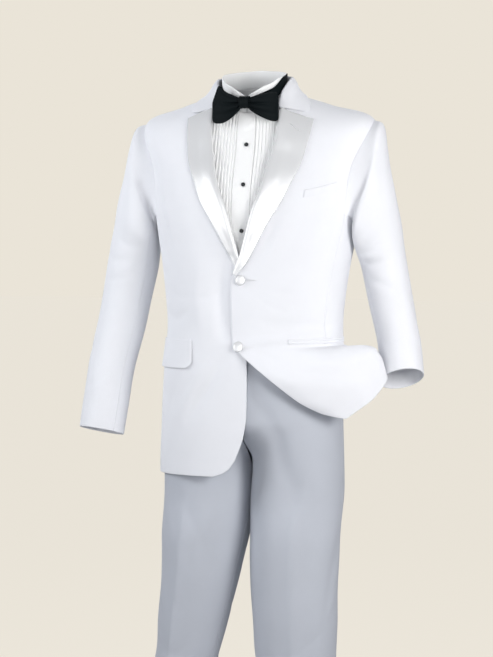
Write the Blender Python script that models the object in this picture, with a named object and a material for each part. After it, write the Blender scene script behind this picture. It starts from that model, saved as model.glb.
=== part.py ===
"""White dinner suit worn open and hollow: jacket, pleated shirt, bow tie and trousers.

Metres, +Z up. The fronts face -Y and the wearer's left is +X. The origin is midway between the two
points where the shoulder seams meet the neck. The jacket and shirt lie on nested rings that run from
the hem, round the body, up over the shoulders to the neck. A ring position is an angle, 0 at the centre
front, 90 at the wearer's left side and 180 at the centre back, and a level, counted up the ring table.
"""
import math

import bmesh
import bpy
import numpy as np

for old in list(bpy.data.objects):
    bpy.data.objects.remove(old, do_unlink=True)

# Cloth thicknesses and clearances
JACKET_WALL = 0.0022
LAPEL_WALL = 0.0018
SHIRT_WALL = 0.0012
TROUSER_WALL = 0.0018
SEAM = 0.0004
LAID_ON = 0.0009
# Jacket cut
FRONT_OVERLAP = 0.0015
SIDE_SEAM_ANGLE = 62.0
ARMHOLE_LEVEL = 5.0
SHOULDER_LEVEL = 7.0
NECK_LEVEL = 9.0
TOP_BUTTON_LEVEL = 3.74
LOWER_BUTTON_LEVEL = 2.54
BUTTON_RADIUS = 0.0105
BUTTON_DEPTH = 0.0045
FLAP_DROP_LEVELS = 0.50
POCKET_LEVEL = 2.64
POCKET_ANGLES = (30.0, 94.0)
# Shirt and bow tie
PLEATS_EACH_SIDE = 8
PLEAT_PITCH = 0.0068
PLEAT_RISE = 0.0011
PLACKET_WIDTH = 0.036
STUD_RADIUS = 0.0042
KNOT_WIDTH = 0.019
BAND_WIDTH = 0.013
# Trousers
CROTCH_HEIGHT = -0.740
RISE_CURVE_HEIGHT = -0.635
THIGH_HEIGHT = -0.880
HIP_HEIGHT = -0.762
CREASE_RISE = 0.0035
TOE_OUT = {"left": 11.0, "right": 14.0}

# One row for each level of the rings, from the jacket's hem to the top of the neck.
RINGS = {
    "columns": ("side_z", "front_z", "back_z", "half_width", "front_y", "back_y", "side_y", "square"),
    "rows": (
        (-0.748, -0.752, -0.742, 0.190, -0.142, 0.115, -0.012, 2.3),
        (-0.650, -0.650, -0.650, 0.188, -0.143, 0.112, -0.012, 2.3),
        (-0.550, -0.550, -0.550, 0.183, -0.140, 0.100, -0.008, 2.3),
        (-0.440, -0.440, -0.440, 0.178, -0.128, 0.088, -0.002, 2.3),
        (-0.335, -0.335, -0.335, 0.190, -0.119, 0.105, 0.004, 2.4),
        (-0.235, -0.235, -0.235, 0.204, -0.117, 0.122, 0.010, 2.5),
        (-0.140, -0.172, -0.150, 0.214, -0.106, 0.122, 0.018, 2.6),
        (-0.049, -0.112, -0.092, 0.226, -0.084, 0.108, 0.028, 2.4),
        (-0.0165, -0.075, -0.036, 0.150, -0.075, 0.085, 0.014, 2.2),
        (0.0085, -0.042, 0.012, 0.076, -0.070, 0.055, -0.008, 2.0),
        (0.040, -0.005, 0.055, 0.066, -0.062, 0.046, -0.012, 2.0),
    ),
}

# The angle of a front's outer edge at each level: side seam, armhole, then shoulder seam.
ARMHOLE = {
    "columns": ("level", "front_angle", "back_angle"),
    "rows": (
        (5.0, 62.0, 118.0),
        (5.4, 63.0, 117.0),
        (5.8, 64.5, 115.0),
        (6.2, 68.0, 111.0),
        (6.6, 74.0, 104.0),
        (6.85, 81.0, 97.0),
        (7.0, 90.0, 90.0),
    ),
}

# How far each front's edge lies from the centre line, into its own side, below the top button.
# The wearer's right front ends in a rounded corner at the hem.
RIGHT_FRONT_EDGE = {
    "columns": ("level", "edge_x"),
    "rows": (
        (0.00, 0.048), (0.06, 0.030), (0.16, 0.016), (0.35, 0.003), (0.75, -0.011),
        (1.20, -0.019), (2.0, -0.020), (3.0, -0.018), (3.74, -0.016),
    ),
}
LEFT_FRONT_EDGE = {
    "columns": ("level", "edge_x"),
    "rows": ((0.0, -0.006), (2.54, -0.009), (3.0, -0.013), (3.74, -0.017)),
}

# The lapel's roll line and outer edge, a row for each section up from the top button.
LAPEL = {
    "columns": ("roll_level", "roll_x", "edge_level", "edge_x"),
    "rows": (
        (3.90, -0.008, 3.86, 0.004),
        (4.15, 0.004, 4.10, 0.017),
        (4.62, 0.017, 4.66, 0.048),
        (5.18, 0.030, 5.30, 0.080),
        (5.75, 0.042, 5.95, 0.100),
        (6.40, 0.052, 6.50, 0.117),
        (7.05, 0.061, 7.05, 0.125),
        (7.80, 0.066, 7.45, 0.1285),
        (8.63, 0.0665, 7.77, 0.1305),
    ),
}

# Where the wearer's left quarter lies, swept back over the hip: a row for each fold line down from the
# lower button, as x, y, z at each of the angles along it.
SWEPT_ANGLES = (-3.0, 20.0, 42.0, 62.0, 90.0, 118.0)
SWEPT_QUARTER = {
    "columns": ("share", "edge", "near", "middle", "outer", "side", "back"),
    "rows": (
        (0.34, (0.060, -0.151, -0.548), (0.128, -0.138, -0.540), (0.194, -0.106, -0.516),
         (0.236, -0.050, -0.489), (0.218, 0.010, -0.496), (0.176, 0.056, -0.512)),
        (0.68, (0.122, -0.133, -0.599), (0.176, -0.121, -0.584), (0.230, -0.090, -0.552),
         (0.262, -0.041, -0.510), (0.231, 0.005, -0.520), (0.181, 0.062, -0.548)),
        (1.00, (0.1875, -0.098, -0.636), (0.222, -0.088, -0.618), (0.258, -0.066, -0.588),
         (0.2760, -0.031, -0.550), (0.231, 0.005, -0.558), (0.186, 0.068, -0.590)),
    ),
}

# Sleeve sections below the armhole: the outer and inner points of each, as x and z on the wearer's own
# side, the y of the middle, half the depth, and how far the front rises over the back.
SLEEVES = {
    "columns": ("outer_x", "outer_z", "inner_x", "inner_z", "middle_y", "half_depth", "front_lift"),
    "right": (
        (0.2560, -0.060, 0.2160, -0.240, 0.028, 0.060, 0.000),
        (0.2680, -0.100, 0.2150, -0.256, 0.024, 0.063, 0.000),
        (0.2785, -0.155, 0.2120, -0.274, 0.019, 0.064, 0.000),
        (0.2910, -0.210, 0.2105, -0.292, 0.016, 0.062, 0.002),
        (0.3015, -0.262, 0.2105, -0.318, 0.014, 0.058, 0.003),
        (0.3140, -0.330, 0.2145, -0.352, 0.012, 0.055, 0.004),
        (0.3305, -0.424, 0.2345, -0.438, 0.008, 0.052, 0.006),
        (0.3460, -0.540, 0.2550, -0.554, -0.018, 0.049, 0.009),
        (0.3545, -0.653, 0.2670, -0.672, -0.048, 0.046, 0.012),
    ),
    "left": (
        (0.2530, -0.060, 0.2160, -0.240, 0.028, 0.060, 0.000),
        (0.2600, -0.098, 0.2150, -0.256, 0.026, 0.063, 0.000),
        (0.2680, -0.150, 0.2105, -0.274, 0.026, 0.064, 0.000),
        (0.2790, -0.205, 0.2070, -0.290, 0.032, 0.061, -0.002),
        (0.2875, -0.258, 0.2055, -0.312, 0.043, 0.057, -0.004),
        (0.2950, -0.325, 0.2060, -0.345, 0.055, 0.053, -0.002),
        (0.3080, -0.400, 0.2210, -0.414, 0.052, 0.051, 0.006),
        (0.3270, -0.480, 0.2420, -0.496, 0.036, 0.049, 0.014),
        (0.3370, -0.544, 0.2490, -0.568, 0.018, 0.046, 0.020),
    ),
}

# How far each garment's outside lies in from the jacket's outside, a row for each level.
EASE = {
    "columns": ("level", "shirt_front", "shirt_back", "trousers"),
    "rows": (
        (-1.0, 0.0190, 0.0172, 0.0082),
        (1.0, 0.0190, 0.0172, 0.0082),
        (2.0, 0.0190, 0.0172, 0.0085),
        (3.0, 0.0190, 0.0172, 0.0138),
        (3.4, 0.0190, 0.0172, 0.0138),
        (4.0, 0.0125, 0.0120, 0.0138),
        (5.0, 0.0059, 0.0070, 0.0138),
        (6.0, 0.0055, 0.0068, 0.0138),
        (8.4, 0.0056, 0.0072, 0.0138),
        (9.3, 0.0052, 0.0064, 0.0138),
        (10.0, 0.0030, 0.0034, 0.0138),
    ),
}

# Each trouser leg on its own side: a row for each height.
LEGS = {
    "columns": ("height", "middle_x", "middle_y", "half_width", "half_depth"),
    "left": (
        (-1.490, 0.1120, -0.045, 0.0640, 0.092),
        (-1.300, 0.1050, -0.048, 0.0710, 0.086),
        (-1.116, 0.0970, -0.050, 0.0785, 0.082),
        (-1.030, 0.0935, -0.047, 0.0840, 0.086),
        (-0.930, 0.0905, -0.040, 0.0880, 0.092),
        (-0.850, 0.0905, -0.032, 0.0895, 0.098),
        (-0.740, 0.0905, -0.020, 0.0895, 0.100),
        (-0.600, 0.0905, -0.020, 0.0895, 0.100),
    ),
    "right": (
        (-1.490, 0.1850, -0.045, 0.0580, 0.088),
        (-1.300, 0.1580, -0.048, 0.0580, 0.082),
        (-1.116, 0.1290, -0.050, 0.0590, 0.076),
        (-1.030, 0.1150, -0.047, 0.0680, 0.082),
        (-0.930, 0.1000, -0.040, 0.0790, 0.090),
        (-0.850, 0.0930, -0.032, 0.0870, 0.098),
        (-0.740, 0.0905, -0.020, 0.0895, 0.100),
        (-0.600, 0.0905, -0.020, 0.0895, 0.100),
    ),
}

PANEL_LEVELS = (0.0, 0.06, 0.16, 0.35, 0.75, 1.2, 1.7, 2.15, 2.54, 3.0, 3.74, 3.9, 4.15, 4.62, 5.0)
ARMHOLE_LEVELS = (5.4, 5.8, 6.2, 6.6, 6.85, 7.0)
YOKE_LEVELS = (7.4, 7.8, 8.2, 8.5, 8.75, 9.0)
SIDES = {"left": 1.0, "right": -1.0}

suit = bpy.data.collections.new("white_tuxedo")
bpy.context.scene.collection.children.link(suit)


def smooth_row(rows, place):
    """A row of a table at a fractional place, on a smooth curve through its rows."""
    table = np.asarray(rows, dtype=float)
    last = len(table) - 1
    place = min(max(place, 0.0), float(last))
    start = min(int(place), last - 1)
    part = place - start
    here = table[start]
    after = table[start + 1]
    before = table[start - 1] if start > 0 else 2 * here - after
    beyond = table[start + 2] if start + 2 <= last else 2 * after - here
    leave = (after - before) / 2
    arrive = (beyond - here) / 2
    square = part * part
    cube = square * part
    return (
        (2 * cube - 3 * square + 1) * here
        + (cube - 2 * square + part) * leave
        + (3 * square - 2 * cube) * after
        + (cube - square) * arrive
    )


def straight_row(rows, key):
    """The rest of a table's row where its first column reaches the key, on straight lines."""
    table = np.asarray(rows, dtype=float)
    order = np.argsort(table[:, 0])
    keys = table[order, 0]
    return [float(np.interp(key, keys, table[order, column])) for column in range(1, table.shape[1])]


def fade(value, low, high):
    """0 below low, 1 above high, with a soft rise between."""
    share = min(max((value - low) / (high - low), 0.0), 1.0)
    return share * share * (3 - 2 * share)


def ring_point(angle, level):
    """A point on the jacket's outside."""
    side_z, front_z, back_z, half_width, front_y, back_y, side_y, square = smooth_row(RINGS["rows"], level)
    sine = math.sin(math.radians(angle))
    cosine = math.cos(math.radians(angle))
    x = half_width * math.copysign(abs(sine) ** (2 / square), sine)
    end_y, end_z = (front_y, front_z) if cosine >= 0 else (back_y, back_z)
    y = side_y + (end_y - side_y) * abs(cosine) ** (2 / square)
    z = side_z + (end_z - side_z) * cosine * cosine
    return np.array((x, y, z))


def angle_at(x, level):
    """The ring angle on the front that lies at x on its own side."""
    row = smooth_row(RINGS["rows"], level)
    share = min(abs(x) / row[3], 0.999)
    return math.copysign(math.degrees(math.asin(share ** (row[7] / 2))), x)


def level_at(height):
    """The level below the armholes whose ring lies at a height."""
    heights = [row[0] for row in RINGS["rows"][:6]]
    return float(np.interp(height, heights, range(6)))


def swept_point(angle, level):
    """A point on the wearer's left side, where the quarter below the lower button is swept back."""
    point = ring_point(angle, level)
    if level >= LOWER_BUTTON_LEVEL:
        return point
    share = (LOWER_BUTTON_LEVEL - level) / LOWER_BUTTON_LEVEL
    shares = [0.0] + [row[0] for row in SWEPT_QUARTER["rows"]]
    moves = [np.zeros((len(SWEPT_ANGLES), 3))]
    for row in SWEPT_QUARTER["rows"]:
        row_level = LOWER_BUTTON_LEVEL * (1 - row[0])
        targets = zip(SWEPT_ANGLES, row[1:])
        moves.append(np.array([np.array(target) - ring_point(at, row_level) for at, target in targets]))
    place = float(np.interp(share, shares, range(len(shares))))
    across = float(np.interp(angle, SWEPT_ANGLES, range(len(SWEPT_ANGLES))))
    flat_moves = [move.reshape(-1) for move in moves]
    move = smooth_row(flat_moves, place).reshape(len(SWEPT_ANGLES), 3)
    return point + smooth_row(move, across)


def overlap_lift(angle, level, side):
    """The fronts pass over each other at the centre, the wearer's left outside."""
    across = 1 - fade(abs(angle), 5.0, 24.0)
    up = 1 - fade(level, 4.1, 4.9)
    down = fade(level, 0.3, 2.4) if side > 0 else 1.0
    return side * FRONT_OVERLAP * across * up * down


def outward(surface, across, level):
    """The unit direction out of a surface given by across and level."""
    level = min(max(level, 0.021), 9.979)
    along = surface(across + 0.4, level) - surface(across - 0.4, level)
    up = surface(across, level + 0.02) - surface(across, level - 0.02)
    normal = np.cross(along, up)
    return normal / np.linalg.norm(normal)


def moved(surface, across, level, distance):
    """The surface's point moved out by a distance."""
    return surface(across, level) + distance * outward(surface, across, level)


def jacket_surface(side):
    """The surface of one side of the jacket, with its overlap at the centre."""
    base = swept_point if side > 0 else ring_point

    def surface(angle, level):
        lift = overlap_lift(angle, level, side)
        return base(angle, level) if lift == 0 else moved(base, angle, level, lift)

    return surface


def inside_seam(surface, seam, other, level, gap):
    """The across value a small gap from a seam towards the panel's other edge."""
    origin = surface(seam, level)
    low = 0.0
    high = 0.2
    for _ in range(22):
        share = (low + high) / 2
        if np.linalg.norm(surface(seam + (other - seam) * share, level) - origin) < gap:
            low = share
        else:
            high = share
    return seam + (other - seam) * high


def finish(name, vertices, faces, colour, roughness, side=1.0):
    """One named closed body with its own material."""
    mesh = bpy.data.meshes.new(name)
    points = [(side * v[0], v[1], v[2]) for v in vertices]
    mesh.from_pydata(points, [], faces)
    body = bmesh.new()
    body.from_mesh(mesh)
    bmesh.ops.recalc_face_normals(body, faces=body.faces)
    if body.calc_volume(signed=True) < 0:
        bmesh.ops.reverse_faces(body, faces=body.faces)
    body.to_mesh(mesh)
    body.free()
    for polygon in mesh.polygons:
        polygon.use_smooth = True
    material = bpy.data.materials.new(name)
    material.use_nodes = True
    shader = material.node_tree.nodes["Principled BSDF"]
    shader.inputs["Base Color"].default_value = (*colour, 1.0)
    shader.inputs["Roughness"].default_value = roughness
    shader.inputs["Metallic"].default_value = 0.0
    mesh.materials.append(material)
    body_object = bpy.data.objects.new(name, mesh)
    suit.objects.link(body_object)
    return body_object


def wall(name, outer, inner, colour, roughness, side=1.0, wrap=False):
    """A closed wall between two grids of points, joined round its rim."""
    rows = len(outer)
    columns = len(outer[0])
    vertices = [point for row in outer for point in row] + [point for row in inner for point in row]
    back = rows * columns
    faces = []
    spans = columns if wrap else columns - 1
    for row in range(rows - 1):
        for column in range(spans):
            after = (column + 1) % columns
            a = row * columns + column
            b = row * columns + after
            c = (row + 1) * columns + after
            d = (row + 1) * columns + column
            faces += [(a, b, c), (a, c, d), (back + a, back + c, back + b), (back + a, back + d, back + c)]
    for row in (0, rows - 1):
        for column in range(spans):
            a = row * columns + column
            b = row * columns + (column + 1) % columns
            faces.append((a, b, back + b, back + a))
    if not wrap:
        for column in (0, columns - 1):
            for row in range(rows - 1):
                a = row * columns + column
                b = (row + 1) * columns + column
                faces.append((a, b, back + b, back + a))
    return finish(name, vertices, faces, colour, roughness, side)


def grid_normals(grid, wrap=False):
    """Unit normals of a grid of points, along its columns crossed with up its rows."""
    points = np.asarray(grid, dtype=float)
    if wrap:
        along = np.roll(points, -1, axis=1) - np.roll(points, 1, axis=1)
    else:
        along = np.gradient(points, axis=1)
    up = np.gradient(points, axis=0)
    normals = np.cross(along, up)
    return normals / np.linalg.norm(normals, axis=2, keepdims=True)


def panel(name, surface, levels, edges, columns, thickness, colour, roughness, inset=None, side=1.0):
    """A cloth panel on a surface: edges(level) gives its two seams, inset(across, level) moves it in."""
    outer = []
    inner = []
    for level in levels:
        start, end = edges(level)
        first = inside_seam(surface, start, end, level, SEAM / 2)
        last = inside_seam(surface, end, start, level, SEAM / 2)
        outer_row = []
        inner_row = []
        for column in range(columns + 1):
            across = first + (last - first) * column / columns
            depth = inset(across, level) if inset else 0.0
            point = surface(across, level)
            normal = outward(surface, across, level)
            outer_row.append(point - depth * normal)
            inner_row.append(point - (depth + thickness) * normal)
        outer.append(outer_row)
        inner.append(inner_row)
    return wall(name, outer, inner, colour, roughness, side)


JACKET_WHITE = (0.83, 0.84, 0.88)
SATIN_WHITE = (0.86, 0.87, 0.88)
SHIRT_WHITE = (0.90, 0.91, 0.90)
TIE_BLACK = (0.008, 0.012, 0.014)
TROUSER_WHITE = (0.66, 0.68, 0.73)
CLOTH_ROUGH = 0.85
SATIN_ROUGH = 0.38
TIE_ROUGH = 0.6
STUD_ROUGH = 0.25


def own_side(surface, side):
    """The same surface seen from the wearer's own side, where x grows outward."""
    if side > 0:
        return surface
    return lambda angle, level: surface(-angle, level) * np.array((-1.0, 1.0, 1.0))


def jacket_front_edges(side):
    """The front edge, roll line or neckline at each level, and the seam, armhole or shoulder."""
    table = LEFT_FRONT_EDGE if side > 0 else RIGHT_FRONT_EDGE
    lapel_rows = [(row[0], row[1]) for row in LAPEL["rows"]] + [(9.0, 0.0660)]

    def edges(level):
        if level <= TOP_BUTTON_LEVEL:
            edge_x = straight_row(table["rows"], level)[0]
        else:
            join = (TOP_BUTTON_LEVEL, straight_row(table["rows"], TOP_BUTTON_LEVEL)[0])
            edge_x = straight_row([join] + lapel_rows, level)[0]
        start = angle_at(edge_x, level)
        if side > 0 and level < 0.4:
            start += 9.0 * (1 - level / 0.4) ** 2
        if level <= ARMHOLE_LEVEL:
            end = SIDE_SEAM_ANGLE
        elif level <= SHOULDER_LEVEL:
            end = straight_row(ARMHOLE["rows"], level)[0]
        else:
            end = 90.0
        return start, end

    return edges


def back_edges(side):
    """The centre back seam, and the side seam, armhole or shoulder at each level."""
    vent = 15.0 if side > 0 else 1.0

    def edges(level):
        if level <= ARMHOLE_LEVEL:
            start = 180.0 - SIDE_SEAM_ANGLE + vent * (1 - fade(level, 0.0, 2.6))
        elif level <= SHOULDER_LEVEL:
            start = straight_row(ARMHOLE["rows"], level)[1]
        else:
            start = 90.0
        return start, 180.0

    return edges


for side_name, side in SIDES.items():
    surface = own_side(jacket_surface(side), side)
    all_levels = PANEL_LEVELS + ARMHOLE_LEVELS + YOKE_LEVELS
    panel(f"jacket_front_{side_name}", surface, all_levels, jacket_front_edges(side), 7,
          JACKET_WALL, JACKET_WHITE, CLOTH_ROUGH, side=side)
    panel(f"jacket_side_{side_name}", surface, PANEL_LEVELS,
          lambda level: (SIDE_SEAM_ANGLE, 180.0 - SIDE_SEAM_ANGLE), 4,
          JACKET_WALL, JACKET_WHITE, CLOTH_ROUGH, side=side)
    panel(f"jacket_back_{side_name}", own_side(ring_point, side), all_levels, back_edges(side), 6,
          JACKET_WALL, JACKET_WHITE, CLOTH_ROUGH, side=side)

# Two-piece sleeves. The loop runs round the armhole from the middle of the underarm, up the front edge,
# over the shoulder point and down the back edge. Its turn is the angle of the same line on the sleeve.
LOOP = {
    "columns": ("angle", "level", "turn"),
    "rows": (
        (90.0, 5.0, 180.0), (76.0, 5.0, 160.0), (62.0, 5.0, 142.0), (63.0, 5.4, 124.0),
        (64.5, 5.8, 104.0), (68.0, 6.2, 82.0), (74.0, 6.6, 55.0), (81.0, 6.85, 30.0),
        (90.0, 7.0, 0.0), (97.0, 6.85, -30.0), (104.0, 6.6, -55.0), (111.0, 6.2, -82.0),
        (115.0, 5.8, -104.0), (117.0, 5.4, -124.0), (118.0, 5.0, -142.0), (104.0, 5.0, -160.0),
    ),
}
SLEEVE_SEAM = 0.0018
TOP_SLEEVE_FROM = 2
TOP_SLEEVE_TO = 13
SLEEVE_STEPS = (0.0, 0.5, 1.0, 2.0, 3.0, 4.0, 5.0, 6.0, 6.5, 7.0, 8.0, 9.0)


def loop_point(row):
    """A point on the armhole's edge, a seam's width beyond the body panels."""
    angle, level, _ = row
    middle = ring_point(90.0, 6.0)
    point = ring_point(angle, level)
    normal = outward(ring_point, angle, level)
    towards = middle - point
    towards -= normal * np.dot(towards, normal)
    towards /= np.linalg.norm(towards)
    return point + SEAM * towards


def sleeve_section(row, turn):
    """A point of a sleeve's ring, turned from its outer point over its front."""
    outer_x, outer_z, inner_x, inner_z, middle_y, half_depth, front_lift = row
    cosine = math.cos(math.radians(turn))
    sine = math.sin(math.radians(turn))
    x = (outer_x + inner_x) / 2 + cosine * (outer_x - inner_x) / 2
    y = middle_y - sine * half_depth
    z = (outer_z + inner_z) / 2 + cosine * (outer_z - inner_z) / 2 + sine * front_lift
    return np.array((x, y, z))


for side_name, side in SIDES.items():
    lines = []
    for loop_row in LOOP["rows"]:
        sections = [sleeve_section(row, loop_row[2]) for row in SLEEVES[side_name]]
        lines.append([loop_point(loop_row)] + sections)
    grid = np.array([[smooth_row(line, step) for line in lines] for step in SLEEVE_STEPS])
    normals = -grid_normals(grid, wrap=True)
    if np.dot(normals[6][8], np.array((1.0, 0.0, 0.0))) < 0:
        normals = -normals
    inside = grid - JACKET_WALL * normals
    top = list(range(TOP_SLEEVE_FROM, TOP_SLEEVE_TO + 1))
    under = list(range(TOP_SLEEVE_TO, len(LOOP["rows"]))) + list(range(0, TOP_SLEEVE_FROM + 1))
    for piece, chosen in (("top", top), ("under", under)):
        outer = grid[:, chosen].copy()
        inner = inside[:, chosen].copy()
        for edge, beside in ((0, 1), (-1, -2)):
            along = outer[:, beside] - outer[:, edge]
            step_in = SLEEVE_SEAM / 2 * along / np.linalg.norm(along, axis=1, keepdims=True)
            outer[:, edge] += step_in
            inner[:, edge] += step_in
        wall(f"sleeve_{piece}_{side_name}", outer, inner, JACKET_WHITE, CLOTH_ROUGH, side)

# Satin lapels: each turns back from the roll line and lies on its front.
ROLL = {
    "columns": ("across", "height"),
    "rows": (
        (-0.0014, -0.0011), (-0.0034, -0.0002), (-0.0042, 0.0022), (-0.0024, 0.0048), (0.0040, 0.0056),
    ),
}
LAPEL_LIE = {
    "columns": ("share", "height"),
    "rows": ((0.25, 0.0044), (0.50, 0.0031), (0.75, 0.0026), (1.0, 0.0023)),
}
LAPEL_STEPS = {
    "left": (0.25, 0.6, 1.0, 1.5, 2.0, 2.5, 3.0, 4.0, 5.0, 6.0, 7.0, 7.5, 8.0),
    "right": (1.2, 1.5, 2.0, 2.5, 3.0, 4.0, 5.0, 6.0, 7.0, 7.5, 8.0),
}
for side_name, side in SIDES.items():
    surface = own_side(jacket_surface(side), side)
    middle = []
    for step in LAPEL_STEPS[side_name]:
        roll_level, roll_x, edge_level, edge_x = smooth_row(LAPEL["rows"], step)
        roll_angle = angle_at(roll_x, roll_level)
        edge_angle = angle_at(edge_x, edge_level)
        at_roll = surface(roll_angle, roll_level)
        normal = outward(surface, roll_angle, roll_level)
        along = surface(roll_angle + 0.5, roll_level) - surface(roll_angle - 0.5, roll_level)
        along /= np.linalg.norm(along)
        narrow = min(1.0, (edge_x - roll_x) / 0.030)
        row = []
        for across, height in ROLL["rows"]:
            row.append(at_roll + along * across * (narrow if across > 0 else 1.0) + normal * height)
        for share, height in LAPEL_LIE["rows"]:
            angle = roll_angle + (edge_angle - roll_angle) * (0.12 + 0.88 * share)
            level = roll_level + (edge_level - roll_level) * (0.12 + 0.88 * share)
            row.append(moved(surface, angle, level, height))
        middle.append(row)
    middle = np.array(middle)
    normals = grid_normals(middle)
    wall(f"lapel_{side_name}", middle + normals * LAPEL_WALL / 2, middle - normals * LAPEL_WALL / 2,
         SATIN_WHITE, SATIN_ROUGH, side)

# Collar: a stand that rises from the neck seam, folds over, and falls on to the back and shoulders.
COLLAR_HALF = LAPEL_WALL / 2
COLLAR_LIE = 0.0026
COLLAR = {
    "columns": ("angle", "base_level", "stand", "leaf_angle", "leaf_level"),
    "rows": (
        (43.3, 8.73, 0.0045, 55.5, 8.12),
        (50.8, 8.88, 0.0085, 61.5, 8.20),
        (60.0, 9.00, 0.0125, 68.0, 8.30),
        (75.0, 9.00, 0.0205, 78.5, 8.48),
        (90.0, 9.00, 0.0260, 91.0, 8.60),
        (115.0, 9.00, 0.0295, 115.0, 8.70),
        (150.0, 9.00, 0.0330, 150.0, 8.75),
        (180.0, 9.00, 0.0330, 180.0, 8.77),
    ),
}
COLLAR_STEPS = (0.0, 0.5, 1.0, 1.5, 2.0, 2.5, 3.0, 3.5, 4.0, 4.5, 5.0, 5.5, 6.0, 7.0)
half_collar = []
for step in COLLAR_STEPS:
    angle, base_level, stand, leaf_angle, leaf_level = smooth_row(COLLAR["rows"], step)
    base = ring_point(angle, base_level)
    out = np.array((math.sin(math.radians(angle)), -math.cos(math.radians(angle)), 0.0))
    up = np.array((0.0, 0.0, 1.0))
    row = [
        base - out * 0.0012 + up * 0.0015,
        base - out * 0.0030 + up * stand * 0.5,
        base - out * 0.0030 + up * (stand - 0.0026),
        base + up * stand,
        base + out * 0.0030 + up * (stand - 0.0026),
    ]
    for share in (0.35, 0.7, 1.0):
        at_angle = angle + (leaf_angle - angle) * share
        at_level = base_level + (leaf_level - base_level) * share
        lie = moved(ring_point, at_angle, at_level, COLLAR_LIE + COLLAR_HALF)
        row.append(lie + up * (stand - 0.003) * (1 - share) ** 1.4 + out * 0.003 * (1 - share))
    half_collar.append(row)
half_collar = np.array(half_collar)
mirrored = half_collar[:-1][::-1] * np.array((-1.0, 1.0, 1.0))
collar_middle = np.concatenate([half_collar, mirrored])
collar_normals = grid_normals(collar_middle)
wall("collar", collar_middle + collar_normals * COLLAR_HALF, collar_middle - collar_normals * COLLAR_HALF,
     JACKET_WHITE, CLOTH_ROUGH)

# Laid-on pieces follow the jacket's points, moved out.


def laid_panel(name, surface, levels, edges, columns, lift, thickness, colour, roughness, side):
    """A small piece that lies on a surface: lift(across share, up share) is its underside's height."""
    outer = []
    inner = []
    for row, level in enumerate(levels):
        start, end = edges(level)
        outer_row = []
        inner_row = []
        for column in range(columns + 1):
            across = start + (end - start) * column / columns
            height = lift(column / columns, row / (len(levels) - 1))
            outer_row.append(moved(surface, across, level, height + thickness))
            inner_row.append(moved(surface, across, level, height))
        outer.append(outer_row)
        inner.append(inner_row)
    return wall(name, outer, inner, colour, roughness, side)


def flap_edges(level):
    """The right pocket flap's front and back edges, with its lower front corner rounded."""
    below = (POCKET_LEVEL - level) / FLAP_DROP_LEVELS
    corner = 5.0 * max(0.0, (below - 0.75) / 0.25) ** 2
    return POCKET_ANGLES[0] + corner - 2.0 * below, POCKET_ANGLES[1] - corner + 2.0 * below


flap_levels = tuple(POCKET_LEVEL - FLAP_DROP_LEVELS * share for share in (1.0, 0.93, 0.8, 0.5, 0.2, 0.0))
laid_panel("pocket_flap_right", own_side(ring_point, -1.0), flap_levels, flap_edges, 8,
           lambda across, up: LAID_ON + 0.0012 * (1 - up), 0.0018, JACKET_WHITE, CLOTH_ROUGH, -1.0)
WELT_LEVELS = (POCKET_LEVEL - 0.045, POCKET_LEVEL + 0.045)
laid_panel("pocket_welt_left", swept_point, WELT_LEVELS, lambda level: POCKET_ANGLES, 10,
           lambda across, up: LAID_ON, 0.0012, JACKET_WHITE, CLOTH_ROUGH, 1.0)


def chest_point(across, up):
    """The chest welt's surface: across in degrees round the ring, and up as a share of its height."""
    slope = (across - 31.0) / 24.0
    return ring_point(across, 5.44 + 0.10 * slope + 0.20 * up / 10.0)


laid_panel("chest_welt", chest_point, (0.0, 5.0, 10.0), lambda level: (31.0, 55.0), 5,
           lambda across, up: LAID_ON, 0.0014, JACKET_WHITE, CLOTH_ROUGH, 1.0)


def turned_disc(name, centre, axis, profile, sides, colour, roughness):
    """A round solid about an axis: profile lists radius and height from its base."""
    axis = axis / np.linalg.norm(axis)
    first = np.cross(axis, np.array((0.0, 0.0, 1.0)))
    first /= np.linalg.norm(first)
    second = np.cross(axis, first)
    vertices = [centre + axis * profile[0][1]]
    for radius, height in profile[1:-1]:
        for step in range(sides):
            turn = 2 * math.pi * step / sides
            spoke = math.cos(turn) * first + math.sin(turn) * second
            vertices.append(centre + axis * height + radius * spoke)
    vertices.append(centre + axis * profile[-1][1])
    rings = len(profile) - 2
    faces = [(0, 1 + (step + 1) % sides, 1 + step) for step in range(sides)]
    for ring in range(rings - 1):
        for step in range(sides):
            low = 1 + ring * sides
            after = (step + 1) % sides
            faces.append((low + step, low + after, low + sides + after, low + sides + step))
    last = len(vertices) - 1
    low = 1 + (rings - 1) * sides
    faces += [(low + step, low + (step + 1) % sides, last) for step in range(sides)]
    return finish(name, vertices, faces, colour, roughness)


BUTTON = (
    (0.0, 0.0), (0.72, 0.0), (0.96, 0.22), (1.0, 0.50), (0.90, 0.82), (0.55, 1.0), (0.0, 1.04),
)
left_jacket = jacket_surface(1.0)
BUTTONS = {
    "columns": ("name", "level", "lift"),
    "rows": (("top", TOP_BUTTON_LEVEL, 0.0006), ("lower", LOWER_BUTTON_LEVEL, 0.0016)),
}
for button_name, button_level, lift in BUTTONS["rows"]:
    seat = moved(left_jacket, 0.6, button_level, lift)
    turned_disc(f"button_{button_name}", seat, outward(left_jacket, 0.6, button_level),
                [(radius * BUTTON_RADIUS, height * BUTTON_DEPTH) for radius, height in BUTTON],
                18, SATIN_WHITE, SATIN_ROUGH)

# Shirt: two pleated fronts under a button band, a back, and a wing collar.


def shirt_ease(across, level):
    """How far in the shirt's outside lies: its front clears the pleats, its back is plain."""
    front, back, _ = straight_row(EASE["rows"], level)
    return front + (back - front) * fade(abs(across), 84.0, 96.0)


SHIRT_LEVELS = (2.90, 3.4, 4.0, 4.66, 5.3, 5.95, 6.65, 7.36, 8.1, 8.65, 9.2)
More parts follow.
